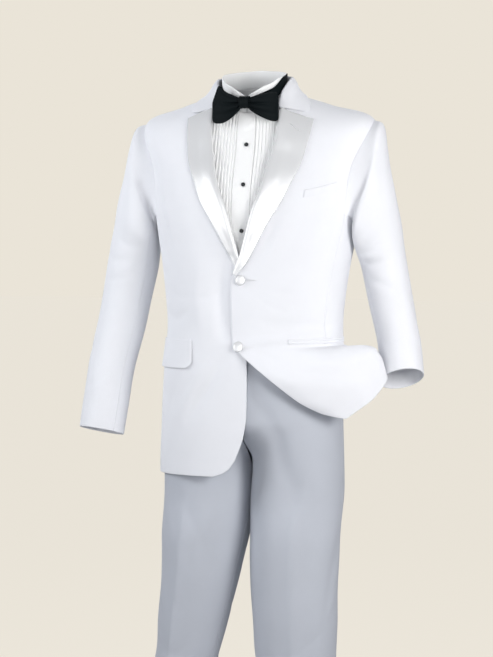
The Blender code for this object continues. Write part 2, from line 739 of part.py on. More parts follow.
# The shirt fronts' outer edge: the side seam, the open armhole, then the shoulder seam.
SHIRT_ARMHOLE = {
    "columns": ("level", "front_angle"),
    "rows": ((4.00, 90.0), (4.66, 84.0), (5.30, 69.0), (5.95, 67.0), (6.65, 76.0), (7.10, 90.0)),
}
PLAIN_SHARES = (0.0, 0.34, 0.67, 1.0)
pleat_lines = [0.0]
for pleat in range(PLEATS_EACH_SIDE):
    start_x = PLACKET_WIDTH / 2 + 0.0016 + PLEAT_PITCH * pleat
    pleat_lines += [start_x, start_x + 0.0008]
pleat_end = PLACKET_WIDTH / 2 + 0.0016 + PLEAT_PITCH * PLEATS_EACH_SIDE


def neck_squeeze(level):
    """How much narrower the pleats and button band run where the neckline is narrower than they are."""
    return min(1.0, 0.93 * smooth_row(RINGS["rows"], level)[3] / pleat_end)


for side_name, side in SIDES.items():
    surface = own_side(ring_point, side)
    outer = []
    inner = []
    for level in SHIRT_LEVELS:
        squeeze = neck_squeeze(level)
        angles = [angle_at(max(x * squeeze, SEAM / 2), level) for x in pleat_lines]
        rises = [0.0] + [0.0, PLEAT_RISE] * PLEATS_EACH_SIDE
        last_pleat = angle_at(pleat_end * squeeze, level)
        side_angle = straight_row(SHIRT_ARMHOLE["rows"], level)[0]
        side_seam = inside_seam(surface, side_angle, 0.0, level, SEAM / 2)
        angles += [last_pleat + (side_seam - last_pleat) * share for share in PLAIN_SHARES]
        rises += [0.0] * len(PLAIN_SHARES)
        outer_row = []
        inner_row = []
        for angle, rise in zip(angles, rises):
            depth = shirt_ease(angle, level)
            point = surface(angle, level)
            normal = outward(surface, angle, level)
            outer_row.append(point - (depth - rise) * normal)
            inner_row.append(point - (depth + SHIRT_WALL) * normal)
        outer.append(outer_row)
        inner.append(inner_row)
    wall(f"shirt_front_{side_name}", outer, inner, SHIRT_WHITE, CLOTH_ROUGH, side)


def shirt_back_edges(level):
    """The shirt back's two edges, the mirror of the fronts' about the side seam."""
    reach = straight_row(SHIRT_ARMHOLE["rows"], level)[0]
    return 180.0 - reach, 180.0 + reach


panel("shirt_back", ring_point, SHIRT_LEVELS, shirt_back_edges, 14, SHIRT_WALL, SHIRT_WHITE, CLOTH_ROUGH,
      inset=lambda across, level: shirt_ease(180.0, level))


def shirt_front_surface(angle, level):
    """The plain shirt front without its pleats."""
    return moved(ring_point, angle, level, -shirt_ease(0.0, level))


def placket_edges(level):
    """The button band's two edges."""
    half = angle_at(PLACKET_WIDTH / 2 * neck_squeeze(level), level)
    return -half, half


laid_panel("shirt_placket", shirt_front_surface, SHIRT_LEVELS[2:], placket_edges, 4,
           lambda across, up: 0.0006, 0.0010, SHIRT_WHITE, CLOTH_ROUGH, 1.0)
STUD = ((0.0, 0.0), (0.8, 0.0), (1.0, 0.35), (0.8, 0.75), (0.0, 1.0))
for number, stud_level in enumerate((7.36, 5.95, 4.66), 1):
    seat = moved(shirt_front_surface, 0.3, stud_level, 0.0006 + 0.0010 + SEAM)
    turned_disc(f"stud_{number}", seat, outward(shirt_front_surface, 0.3, stud_level),
                [(radius * STUD_RADIUS, height * 0.0034) for radius, height in STUD],
                12, TIE_BLACK, STUD_ROUGH)

# Wing collar: a band that stands on the shirt's neckline and rises towards the back. At the front its top
# edge is folded out into two wings that meet in a V.
COLLAR_WALL = 0.0012
COLLAR_SEAM_LIFT = 0.0011
NECKLINE_LEVEL = 9.2
NECK_ANGLES = (1.2, 8.0, 15.0, 22.0, 30.0, 38.0, 46.0, 54.0, 62.0, 72.0, 82.0, 92.0, 104.0, 120.0, 140.0,
               160.0, 180.0)
NECK_TOP = {"half_width": 0.0640, "front_y": -0.0672, "back_y": 0.0400, "middle_y": -0.0120}
WING = {
    "columns": ("angle", "top_z", "fold", "drop"),
    "rows": (
        (0.0, -0.0055, 1.0, 0.0040), (8.0, 0.0005, 1.0, 0.0120), (15.0, 0.0051, 1.0, 0.0140),
        (30.0, 0.0155, 1.0, 0.0110), (45.0, 0.0243, 0.5, 0.0040), (60.0, 0.0315, 0.0, 0.0),
        (74.0, 0.0360, 0.0, 0.0), (90.0, 0.0415, 0.0, 0.0), (106.0, 0.0450, 0.0, 0.0),
        (135.0, 0.0500, 0.0, 0.0), (180.0, 0.0540, 0.0, 0.0),
    ),
}
WING_FOLD = {
    "columns": ("plain_up", "below_top", "spread", "drop_share"),
    "rows": ((0.84, 0.0014, 0.0, 0.0), (0.90, 0.0, 0.0011, 0.0), (0.95, 0.0014, 0.0022, 0.0),
             (1.0, 0.0014, 0.0024, 1.0)),
}


def collar_point(angle, height, spread=0.0):
    """A point on the straight line up the collar, from the shirt's neckline to the collar's top edge."""
    top_z = straight_row(WING["rows"], angle)[0]
    out = np.array((math.sin(math.radians(angle)), -math.cos(math.radians(angle)), 0.0))
    base = moved(ring_point, angle, NECKLINE_LEVEL, -shirt_ease(angle, NECKLINE_LEVEL) - SHIRT_WALL / 2)
    base[2] += COLLAR_SEAM_LIFT
    end_y = NECK_TOP["front_y"] if out[1] < 0 else NECK_TOP["back_y"]
    top = np.array((NECK_TOP["half_width"] * out[0],
                    NECK_TOP["middle_y"] + abs(out[1]) * (end_y - NECK_TOP["middle_y"]), top_z))
    up = (height - base[2]) / (top_z - base[2])
    return base * (1 - up) + top * up + out * spread, base[2], top_z


def both_sides(half):
    """Rows from the front round to the back, then on round the other side."""
    half = np.array(half)
    return np.concatenate([half, half[:-1][::-1] * np.array((-1.0, 1.0, 1.0))])


half_collar = []
for angle in NECK_ANGLES:
    top_z, fold, drop = straight_row(WING["rows"], angle)
    base_z = collar_point(angle, 0.0)[1]
    row = [collar_point(angle, base_z + (top_z - base_z) * up)[0] for up in (0.0, 0.42)]
    for plain_up, below_top, spread, drop_share in WING_FOLD["rows"]:
        plain = collar_point(angle, base_z + (top_z - base_z) * plain_up)[0]
        folded = collar_point(angle, top_z - below_top - drop * drop_share, spread)[0]
        row.append(plain * (1 - fold) + folded * fold)
    half_collar.append(row)
band_middle = both_sides(half_collar)
band_normals = grid_normals(band_middle)
half_wall = band_normals * COLLAR_WALL / 2
wall("shirt_collar", band_middle + half_wall, band_middle - half_wall, SHIRT_WHITE, CLOTH_ROUGH)

# Bow tie: a neckband round the collar, two folded wings, and a knot wrapped round their middle.
BAND_WALL = 0.0014
NECKBAND = {
    "columns": ("angle", "middle_z", "spread"),
    "rows": (
        (0.0, -0.0150, 0.0046), (30.0, -0.0095, 0.0046), (45.0, -0.0025, 0.0042), (60.0, 0.0085, 0.0024),
        (74.0, 0.0195, 0.0019), (90.0, 0.0290, 0.0019), (106.0, 0.0345, 0.0019), (135.0, 0.0385, 0.0019),
        (180.0, 0.0410, 0.0019),
    ),
}
half_neckband = []
for angle in NECK_ANGLES:
    middle_z, spread = straight_row(NECKBAND["rows"], angle)
    heights = (middle_z - BAND_WIDTH / 2, middle_z, middle_z + BAND_WIDTH / 2)
    half_neckband.append([collar_point(angle, height, spread)[0] for height in heights])
neckband = both_sides(half_neckband).transpose(1, 0, 2)
half_wall = grid_normals(neckband, wrap=True) * BAND_WALL / 2
wall("bow_band", neckband + half_wall, neckband - half_wall, TIE_BLACK, TIE_ROUGH, wrap=True)

BOW_CENTRE = np.array((0.0, -0.0808, -0.0155))
BOW = {
    "columns": ("x", "top", "bottom", "half_thickness", "back_y", "groove"),
    "rows": (
        (-0.0680, -0.0010, -0.0110, 0.0022, 0.0085, 0.0000),
        (-0.0650, 0.0085, -0.0210, 0.0034, 0.0080, 0.0002),
        (-0.0560, 0.0175, -0.0360, 0.0044, 0.0060, 0.0004),
        (-0.0490, 0.0210, -0.0375, 0.0048, 0.0045, 0.0006),
        (-0.0380, 0.0205, -0.0310, 0.0050, 0.0025, 0.0010),
        (-0.0260, 0.0160, -0.0205, 0.0048, 0.0010, 0.0014),
        (-0.0130, 0.0092, -0.0110, 0.0042, 0.0000, 0.0016),
        (0.0000, 0.0078, -0.0078, 0.0040, 0.0000, 0.0012),
        (0.0130, 0.0085, -0.0105, 0.0042, 0.0000, 0.0016),
        (0.0260, 0.0130, -0.0190, 0.0048, 0.0010, 0.0014),
        (0.0400, 0.0165, -0.0275, 0.0050, 0.0030, 0.0009),
        (0.0540, 0.0185, -0.0355, 0.0044, 0.0055, 0.0005),
        (0.0610, 0.0170, -0.0365, 0.0038, 0.0075, 0.0003),
        (0.0650, 0.0090, -0.0270, 0.0032, 0.0085, 0.0002),
        (0.0665, 0.0000, -0.0140, 0.0022, 0.0090, 0.0000),
    ),
}
BOW_FOLDS = {
    "columns": ("share_down", "ridge"),
    "rows": (
        (0.0, 0.0), (0.14, 0.8), (0.32, 1.0), (0.42, -1.0), (0.52, 1.0), (0.66, 1.0), (0.76, -1.0),
        (0.88, 0.8), (1.0, 0.0),
    ),
}
BOW_BACK_SHARES = (0.86, 0.62, 0.38, 0.14)
BOW_RIM = 0.06
bow_rows = []
for x, top, bottom, half_thickness, back_y, groove in BOW["rows"]:
    ring = []
    for share, ridge in BOW_FOLDS["rows"]:
        z = top + (bottom - top) * share
        bulge = half_thickness * math.sin(math.pi * min(max(share, BOW_RIM), 1 - BOW_RIM)) ** 0.5
        ring.append(BOW_CENTRE + np.array((x, back_y - bulge - groove * ridge, z)))
    for share in BOW_BACK_SHARES:
        z = top + (bottom - top) * share
        bulge = half_thickness * math.sin(math.pi * share) ** 0.5
        ring.append(BOW_CENTRE + np.array((x, back_y + bulge, z)))
    bow_rows.append(ring)


def lofted(name, rows, colour, roughness, side=1.0):
    """A closed solid through rings of points, capped at both ends."""
    count = len(rows[0])
    vertices = [point for row in rows for point in row]
    faces = []
    for row in range(len(rows) - 1):
        for column in range(count):
            a = row * count + column
            b = row * count + (column + 1) % count
            faces += [(a, b, b + count), (a, b + count, a + count)]
    for row in (0, len(rows) - 1):
        centre = len(vertices)
        vertices.append(sum(rows[row]) / count)
        for column in range(count):
            faces.append((row * count + column, row * count + (column + 1) % count, centre))
    return finish(name, vertices, faces, colour, roughness, side)


lofted("bow", bow_rows, TIE_BLACK, TIE_ROUGH)

# The knot is a short sleeve round the bow's middle, open where the bow passes through.
KNOT_WALL = 0.0014
KNOT_SIDES = 16
KNOT_FLARE = 0.0021
KNOT_HALF_DEPTH = 0.0070
KNOT_HALF_HEIGHT = 0.0094
KNOT = {
    "columns": ("share", "swell"),
    "rows": ((-0.5, 0.0), (-0.32, 0.0008), (0.0, 0.0012), (0.32, 0.0008), (0.5, 0.0)),
}
knot_outer = []
knot_inner = []
for share, swell in KNOT["rows"]:
    outer_row = []
    inner_row = []
    for step in range(KNOT_SIDES):
        turn = 2 * math.pi * step / KNOT_SIDES
        spread = KNOT_FLARE * (2 * abs(share)) ** 2
        half_y = KNOT_HALF_DEPTH + spread * 0.3
        half_z = KNOT_HALF_HEIGHT + spread
        direction = np.array((0.0, math.cos(turn), math.sin(turn)))
        inner = np.array((share * KNOT_WIDTH, half_y * math.cos(turn), half_z * math.sin(turn)))
        inner_row.append(BOW_CENTRE + inner)
        outer_row.append(BOW_CENTRE + inner + direction * (KNOT_WALL + swell))
    knot_outer.append(outer_row)
    knot_inner.append(inner_row)
wall("bow_knot", knot_outer, knot_inner, TIE_BLACK, TIE_ROUGH, wrap=True)

# Trousers: two fronts and two backs that meet at the centre seams above the crotch and at the inseams
# below it, and a waistband.


def trouser_ring(angle, height):
    """The trousers' outside above the crotch, inside the jacket."""
    level = level_at(max(height, RINGS["rows"][0][0]))
    ease = straight_row(EASE["rows"], level)[2]
    point = moved(ring_point, angle, max(level, 0.03), -ease)
    point[2] = height
    return point


def leg_point(leg, turn, height):
    """The outside of one leg on its own side: turn 0 is the outer seam, 90 the front crease."""
    rows = LEGS[leg]
    place = float(np.interp(height, [row[0] for row in rows], range(len(rows))))
    _, middle_x, middle_y, half_width, half_depth = smooth_row(rows, place)
    toe = math.radians(TOE_OUT[leg]) * (1 - fade(height, -0.90, -0.74))
    across = half_width * math.cos(math.radians(turn))
    forward = half_depth * math.sin(math.radians(turn))
    x = middle_x + across * math.cos(toe) + forward * math.sin(toe)
    y = middle_y + across * math.sin(toe) - forward * math.cos(toe)
    return np.array((x, y, height))


def trouser_surface(leg, front):
    """One trouser panel: across runs from 0 at the centre or inseam to 1 at the outer seam."""

    def surface(across, height):
        turn = 180.0 - 180.0 * across if front else 180.0 + 180.0 * across
        angle = 90.0 * across if front else 180.0 - 90.0 * across
        inner_share = 1 - fade(height, CROTCH_HEIGHT, RISE_CURVE_HEIGHT)
        outer_share = 1 - fade(height, THIGH_HEIGHT, HIP_HEIGHT)
        share = inner_share + (outer_share - inner_share) * fade(across, 0.0, 0.7)
        ring = trouser_ring(angle, height) if share < 1 else np.zeros(3)
        leg_at = leg_point(leg, turn, height)
        point = ring * (1 - share) + leg_at * share
        crease = math.exp(-(((across - 0.5) / 0.060) ** 2)) * (1 - fade(height, -0.86, -0.77))
        outside = leg_at - leg_point(leg, turn + 180.0, height)
        outside[2] = 0.0
        return point + CREASE_RISE * crease * outside / np.linalg.norm(outside)

    return surface


def outward_leg(surface, across, height):
    """The unit direction out of a trouser panel."""
    low = max(across - 0.02, 0.0)
    high = min(across + 0.02, 1.0)
    along = surface(high, height) - surface(low, height)
    up = surface(across, height + 0.006) - surface(across, height - 0.006)
    normal = np.cross(along, up)
    return normal / np.linalg.norm(normal)


TROUSER_HEIGHTS = (-1.49, -1.36, -1.22, -1.10, -1.00, -0.91, -0.84, -0.785, -0.74, -0.71, -0.68, -0.645,
                   -0.60, -0.52, -0.4406)
FRONT_SHARES = (0.0, 0.12, 0.27, 0.41, 0.50, 0.59, 0.73, 0.88, 1.0)
for leg, side in SIDES.items():
    for piece, front in (("front", True), ("back", False)):
        surface = trouser_surface(leg, front)
        outer = []
        inner = []
        for height in TROUSER_HEIGHTS:
            first = inside_seam(surface, 0.0, 1.0, height, SEAM / 2)
            last = inside_seam(surface, 1.0, 0.0, height, SEAM / 2)
            outer_row = []
            inner_row = []
            for share in FRONT_SHARES:
                across = first + (last - first) * share
                point = surface(across, height)
                normal = outward_leg(surface, across, height) * (1.0 if front else -1.0)
                if height > CROTCH_HEIGHT + 0.02 and share == 0.0:
                    point[0] = max(point[0], SEAM / 2)
                    normal[0] = 0.0
                    normal /= np.linalg.norm(normal)
                outer_row.append(point)
                inner_row.append(point - TROUSER_WALL * normal)
            outer.append(outer_row)
            inner.append(inner_row)
        wall(f"trouser_{piece}_{leg}", outer, inner, TROUSER_WHITE, CLOTH_ROUGH, side)

WAISTBAND_ANGLES = [0.4] + [10.0 * step for step in range(1, 36)] + [359.6]
WAISTBAND_HEIGHTS = (-0.4400, -0.4200, -0.4000)
band_outer = []
band_inner = []
for height in WAISTBAND_HEIGHTS:
    outer_row = [trouser_ring(angle, height) for angle in WAISTBAND_ANGLES]
    out_row = [outward(ring_point, angle, level_at(height)) for angle in WAISTBAND_ANGLES]
    band_outer.append(outer_row)
    band_inner.append([point - TROUSER_WALL * out for point, out in zip(outer_row, out_row)])
wall("waistband", band_outer, band_inner, TROUSER_WHITE, CLOTH_ROUGH)
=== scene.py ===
import math

import bpy
import numpy as np
from mathutils import Matrix, Vector


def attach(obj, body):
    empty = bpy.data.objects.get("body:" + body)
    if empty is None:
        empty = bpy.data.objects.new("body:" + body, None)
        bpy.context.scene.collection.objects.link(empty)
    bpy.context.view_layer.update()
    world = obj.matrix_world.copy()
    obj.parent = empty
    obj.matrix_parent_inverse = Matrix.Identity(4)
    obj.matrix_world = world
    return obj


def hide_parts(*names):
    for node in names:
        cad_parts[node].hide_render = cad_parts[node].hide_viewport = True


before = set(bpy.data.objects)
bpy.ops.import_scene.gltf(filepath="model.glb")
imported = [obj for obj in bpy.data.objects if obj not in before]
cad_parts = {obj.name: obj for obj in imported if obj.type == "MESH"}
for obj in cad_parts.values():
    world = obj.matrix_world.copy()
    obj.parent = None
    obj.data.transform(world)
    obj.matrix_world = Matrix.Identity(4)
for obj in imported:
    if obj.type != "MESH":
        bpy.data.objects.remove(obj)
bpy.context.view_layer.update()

# Studio. A portrait camera stands a little to the wearer's left at chest height. A large soft light
# comes from the wearer's left and front, a weaker one fills the other side, and the floor is plain.
SENSOR = 36.0
VIEW_HEIGHT = 1.314
VIEW_SHIFT = (-0.0145, 0.0068)
LOOK_AT = Vector((0.0, 0.0, -0.47))
# azimuth, elevation, distance
LOOK_FROM = (16.0, 3.0, 4.0)
FLOOR_HEIGHT = -1.506
FLOOR_SIZE = 60.0
FLOOR_GLOW = 0.94
CHEST = Vector((0.0, 0.0, -0.15))
BACKDROP = (0.823, 0.776, 0.686)
ROOM_TINT = (0.93, 0.95, 1.0)
ROOM_GLOW = 0.37
# name, azimuth, elevation, distance, size, power, mirrored, colour
SOFTBOXES = (
    ("key", 56.0, 2.0, 1.9, 0.9, 24.0, False, (1.0, 0.985, 0.97)),
    ("fill", -64.0, 16.0, 1.8, 0.9, 17.2, False, (0.95, 0.97, 1.0)),
    ("front", 2.0, -8.0, 2.6, 1.2, 14.0, False, (1.0, 1.0, 1.0)),
    ("low_front", 5.0, 6.0, 5.0, 3.5, 58.0, True, (1.0, 1.0, 1.0)),
    ("low_right", -45.0, 3.0, 5.0, 3.0, 40.0, True, (1.0, 1.0, 1.0)),
    ("back", 190.0, 40.0, 2.6, 1.5, 24.0, True, (0.97, 0.985, 1.0)),
)


def stand_round(thing, azimuth, elevation, distance, target):
    """An object at a place round the suit, turned upright towards its target."""
    azimuth, elevation = math.radians(azimuth), math.radians(elevation)
    level = math.cos(elevation)
    back = Vector((math.sin(azimuth) * level, -math.cos(azimuth) * level, math.sin(elevation)))
    right = Vector((0.0, 0.0, 1.0)).cross(back).normalized()
    turn = Matrix((right, back.cross(right), back)).transposed().to_4x4()
    bpy.context.scene.collection.objects.link(thing)
    thing.matrix_world = Matrix.Translation(target + back * distance) @ turn


def feed(node, inputs):
    """Each named input of a node gets its value, or a link from another node's output."""
    for name, value in inputs.items():
        if isinstance(value, bpy.types.NodeSocket):
            node.id_data.links.new(value, node.inputs[name])
        else:
            node.inputs[name].default_value = value


def output_of(tree, kind, inputs=None, output=0, **settings):
    """One output of a new node with its settings and inputs."""
    node = tree.nodes.new(kind)
    for name, value in settings.items():
        setattr(node, name, value)
    feed(node, inputs or {})
    return node.outputs[output]


def blend(tree, share, first, second):
    """A colour between two, by a share."""
    inputs = {"Factor": share, "A": (*first, 1.0), "B": (*second, 1.0)}
    return output_of(tree, "ShaderNodeMix", inputs, "Result", data_type="RGBA")


def new_finish(name, inputs):
    """A material with some of its shader's inputs, its node tree and its shader."""
    material = bpy.data.materials.new(name)
    material.use_nodes = True
    shader = material.node_tree.nodes["Principled BSDF"]
    feed(shader, inputs)
    return material, material.node_tree, shader


camera_data = bpy.data.cameras.new("camera")
camera_data.sensor_fit = "VERTICAL"
camera_data.sensor_height = camera_data.sensor_width = SENSOR
camera_data.lens = SENSOR * LOOK_FROM[2] / VIEW_HEIGHT
camera_data.shift_x, camera_data.shift_y = VIEW_SHIFT
camera = bpy.data.objects.new("camera", camera_data)
stand_round(camera, *LOOK_FROM, LOOK_AT)
bpy.context.scene.camera = camera

for light_name, azimuth, elevation, distance, size, power, mirrored, colour in SOFTBOXES:
    light_data = bpy.data.lights.new(light_name, "AREA")
    light_data.shape = "DISK"
    light_data.size, light_data.energy, light_data.color = size, power, colour
    light = bpy.data.objects.new(light_name, light_data)
    stand_round(light, azimuth, elevation, distance, CHEST)
    light.visible_camera = False
    light.visible_glossy = mirrored
    light.visible_diffuse = not mirrored or light_name == "back"

world = bpy.data.worlds.new("studio")
bpy.context.scene.world = world
world.use_nodes = True
tree = world.node_tree
backdrop = tree.nodes["Background"]
feed(backdrop, {"Color": (*BACKDROP, 1.0)})
room = output_of(tree, "ShaderNodeBackground", {"Color": (*ROOM_TINT, 1.0), "Strength": ROOM_GLOW})
seen = output_of(tree, "ShaderNodeLightPath", {}, "Is Camera Ray")
choose = output_of(tree, "ShaderNodeMixShader", {0: seen, 1: room, 2: backdrop.outputs[0]})
feed(tree.nodes["World Output"], {"Surface": choose})
bpy.context.scene.view_settings.view_transform = "Standard"

floor_mesh = bpy.data.meshes.new("floor")
half = FLOOR_SIZE / 2
floor_corners = [(-half, -half), (half, -half), (half, half), (-half, half)]
floor_mesh.from_pydata([(x, y, FLOOR_HEIGHT) for x, y in floor_corners], [], [(0, 1, 2, 3)])
floor_paint, tree, shader = new_finish("floor", {
    "Roughness": 0.9, "Base Color": (0.06, 0.057, 0.05, 1.0), "Emission Strength": FLOOR_GLOW})
noise = output_of(tree, "ShaderNodeTexNoise", {"Scale": 3.0})
feed(shader, {"Emission Color": blend(tree, noise, BACKDROP, [0.99 * part for part in BACKDROP])})
floor_mesh.materials.append(floor_paint)
floor = bpy.data.objects.new("floor", floor_mesh)
floor.visible_diffuse = floor.visible_glossy = False
bpy.context.scene.collection.objects.link(floor)

# Jacket body. Fronts, side panels and backs in a fine plain-weave wool, cut to nested rings round the
# chest and sewn edge to edge. The wearer's left front passes over the right, and below the lower
# button its quarter is swept back over the hip.
JACKET_WALL = 0.0022
SEAM = 0.0004
SEAM_SINK = 0.0005
EDGE_LIP = 0.0011
FRONT_OVERLAP = 0.0015
SIDE_SEAM = 62.0
TOP_BUTTON = 3.74
LOWER_BUTTON = 2.54
WOOL_WHITE = (0.84, 0.85, 0.885)
WOOL_THREAD = 0.0007
CLOTH_UV = "cloth"
# One row for each level: side_z, front_z, back_z, half_width, front_y, back_y, side_y, square
RINGS = np.array((
    (-0.746, -0.744, -0.741, 0.19, -0.142, 0.115, -0.012, 2.3),
    (-0.65, -0.65, -0.65, 0.188, -0.143, 0.112, -0.012, 2.3),
    (-0.55, -0.55, -0.55, 0.183, -0.14, 0.1, -0.008, 2.3),
    (-0.44, -0.44, -0.44, 0.178, -0.128, 0.088, -0.002, 2.3),
    (-0.335, -0.335, -0.335, 0.19, -0.119, 0.105, 0.004, 2.4),
    (-0.235, -0.235, -0.235, 0.204, -0.117, 0.122, 0.01, 2.5),
    (-0.14, -0.172, -0.15, 0.214, -0.106, 0.122, 0.018, 2.6),
    (-0.048, -0.112, -0.092, 0.234, -0.084, 0.108, 0.028, 2.4),
    (-0.0165, -0.075, -0.036, 0.15, -0.075, 0.085, 0.014, 2.2),
    (0.0085, -0.042, 0.012, 0.076, -0.07, 0.055, -0.008, 2),
    (0.04, -0.005, 0.055, 0.066, -0.062, 0.046, -0.012, 2),
))
# The armhole seam up the front edge, over the shoulder point and down the back edge: angle, level
ARMHOLE = np.array((
    (68, 5), (67.5, 5.4), (68, 5.8), (70.5, 6.2), (75, 6.6), (81.5, 6.85), (90, 7),
    (97, 6.85), (104, 6.6), (111, 6.2), (115, 5.8), (117, 5.4), (118, 5),
))
# A front's outer edge from the hem to the top button: level, distance into its own side
FRONT_EDGE = {
    -1: ((0, 0.048), (0.06, 0.030), (0.16, 0.016), (0.35, 0.003), (0.75, -0.011), (1.20, -0.019),
         (2, -0.020), (3, -0.018), (3.74, -0.016)),
    1: ((0, -0.006), (2.54, -0.009), (3, -0.013), (3.74, -0.017)),
}
# Lapel sections up from the top button: roll_level, roll_x, edge_level, edge_x
LAPEL = {
    1: np.array((
        (3.86, -0.0105, 3.82, -0.006), (4.15, 0.004, 4.1, 0.017), (4.62, 0.017, 4.66, 0.048),
        (5.18, 0.03, 5.3, 0.08), (5.75, 0.042, 5.95, 0.1), (6.4, 0.052, 6.5, 0.116),
        (7.05, 0.061, 7.05, 0.124), (7.8, 0.066, 7.45, 0.128), (8.63, 0.0665, 7.77, 0.13),
    )),
    -1: np.array((
        (3.9, -0.008, 3.86, 0.002), (4.15, 0.004, 4.1, 0.014), (4.62, 0.017, 4.66, 0.046),
        (5.18, 0.032, 5.3, 0.079), (5.75, 0.047, 5.95, 0.0955), (6.4, 0.06, 6.5, 0.1115),
        (7.05, 0.068, 7.05, 0.1185), (7.8, 0.0735, 7.48, 0.122), (8.63, 0.074, 7.88, 0.125),
    )),
}
# Where the swept quarter lies at each share of the way down from the lower button
SWEPT_ANGLES = (-3, 20, 42, 62, 90, 118)
SWEPT_SHARES = (0.0, 0.34, 0.68, 1.0)
SWEPT = (
    ((0.060, -0.151, -0.548), (0.128, -0.138, -0.540), (0.194, -0.106, -0.516),
     (0.236, -0.050, -0.489), (0.218, 0.010, -0.496), (0.176, 0.056, -0.512)),
    ((0.122, -0.133, -0.599), (0.176, -0.121, -0.584), (0.230, -0.090, -0.552),
     (0.262, -0.041, -0.510), (0.231, 0.005, -0.520), (0.181, 0.062, -0.548)),
    ((0.1875, -0.098, -0.636), (0.222, -0.088, -0.618), (0.258, -0.066, -0.588),
     (0.2760, -0.031, -0.550), (0.231, 0.005, -0.558), (0.186, 0.068, -0.590)),
)
# Soft folds: half width and height in millimetres, then the line it follows as angle and level
JACKET_FOLDS = (
    (15, -9, ((-5.5, 4.3), (-9.5, 3.6), (-9, 3.1), (-6, 2.6))),
    (15, 2.6, ((-20, 4.2), (-25, 3.4), (-22, 2.7))), (15, -4.4, ((-6, 2.4), (-18, 1.72), (-31, 1.05))),
    (13, 2.6, ((-13, 2.3), (-26, 1.75), (-40, 1.2))), (11, -3.2, ((-33, 3.15), (-50, 3), (-70, 3.1))),
    (9, -1.2, ((-27, 3.45), (-44, 3.42), (-60, 3.6))),
    (11, -2.6, ((-59, 6.5), (-55, 5.6), (-50, 4.7), (-46, 4))),
    (12, 1.8, ((-50, 6.3), (-47, 5.3), (-43, 4.4))), (16, -1.4, ((-26, 5.3), (-17, 4.5), (-9, 3.9))),
    (9, -1, ((-4, 3.62), (-18, 3.42), (-32, 3.4))), (12, -1.4, ((-40, 2.1), (-50, 1.4), (-56, 0.7))),
    (9, -2.6, ((21, 5.15), (14, 4.6), (7.5, 4.05))), (16, -1.6, ((36, 5.3), (25, 4.4), (14, 3.8))),
    (13, -4.2, ((6, 3), (24, 2.92), (42, 2.9), (62, 2.94), (86, 3))),
    (9, 2.6, ((1, 2.6), (16, 2.66), (33, 2.68), (54, 2.72), (80, 2.72))),
    (12, -2.2, ((2, 2.5), (22, 2.12), (48, 1.75), (80, 1.6))), (14, 2, ((10, 2.4), (36, 1.85), (62, 1.4))),
    (14, -2.2, ((4, 2.35), (22, 1.7), (44, 1.2), (70, 0.9))), (13, 1.6, ((8, 1.6), (26, 1.1), (46, 0.6))),
    (11, -2.6, ((59, 6.5), (57, 5.6), (54, 4.8), (50, 4.1))), (12, 1.6, ((51, 6.2), (48, 5.2), (44, 4.5))),
    (9, -1.3, ((4, 3.68), (18, 3.52), (36, 3.5))), (8, -1, ((4, 3.6), (16, 3.28), (32, 3.12))),
    (16, -2.6, ((148, 6.6), (152, 5.6), (157, 4.7))), (14, -2.4, ((-146, 6.5), (-150, 5.4), (-158, 4.5))),
    (12, -2.6, ((120, 3.2), (145, 3.05), (168, 3.12))), (11, -2.2, ((-118, 3.3), (-142, 3.1), (-170, 2.95))),
    (10, -1.5, ((126, 3.6), (150, 3.5), (172, 3.58))), (9, -1.3, ((-128, 2.75), (-150, 2.65), (-168, 2.72))),
    (8, -1.4, ((146, 7.95), (180, 7.78), (216, 7.95))), (22, 2.6, ((140, 2.5), (143, 1.4), (147, 0.2))),
    (20, 2.2, ((-140, 2.5), (-144, 1.2), (-149, 0.1))), (10, -2, ((121, 6.5), (124, 5.4), (126, 4.4))),
    (10, -1.8, ((-120, 6.4), (-123, 5.5), (-127, 4.6))),
)
FOLD_STEPS = 9
# Broad unevenness of the hanging cloth: wave numbers along x, y and z, turn, and height in millimetres
SOFT_WAVES = (
    (34, 9, 21, 0.4, 0.42), (-19, 27, 38, 1.9, 0.38), (52, -31, 17, 3.1, 0.26), (11, 46, -63, 5.2, 0.22),
)


def spline_weights(place, count):
    """Weights of a smooth curve through count rows at each place."""
    place = np.clip(np.asarray(place, dtype=float), 0.0, count - 1.0)
    start = np.minimum(place.astype(int), count - 2)
    part = (place - start)[..., None]
    rows = np.eye(count)
    here = rows[start]
    after = rows[start + 1]
    before = np.where((start > 0)[..., None], rows[np.maximum(start - 1, 0)], 2 * here - after)
    beyond = np.where((start + 2 < count)[..., None], rows[np.minimum(start + 2, count - 1)],
                      2 * after - here)
    square = part * part
    cube = square * part
    return ((2 * cube - 3 * square + 1) * here + (cube - 2 * square + part) * (after - before) / 2
            + (3 * square - 2 * cube) * after + (cube - square) * (beyond - here) / 2)


def smooth_rows(rows, place):
    """A table's rows at fractional places, on a smooth curve."""
    table = np.asarray(rows, dtype=float)
    return spline_weights(place, len(table)) @ table


def smooth_between(rows, key):
    """The second column of a short table where its first reaches the key, on a smooth curve."""
    table = np.asarray(rows, dtype=float)
    return smooth_rows(table[:, 1:2], np.interp(key, table[:, 0], range(len(table))))[..., 0]


def fade(value, low, high):
    """0 below low and 1 above high, with a soft rise between."""
    share = np.clip((value - low) / (high - low), 0.0, 1.0)
    return share * share * (3 - 2 * share)


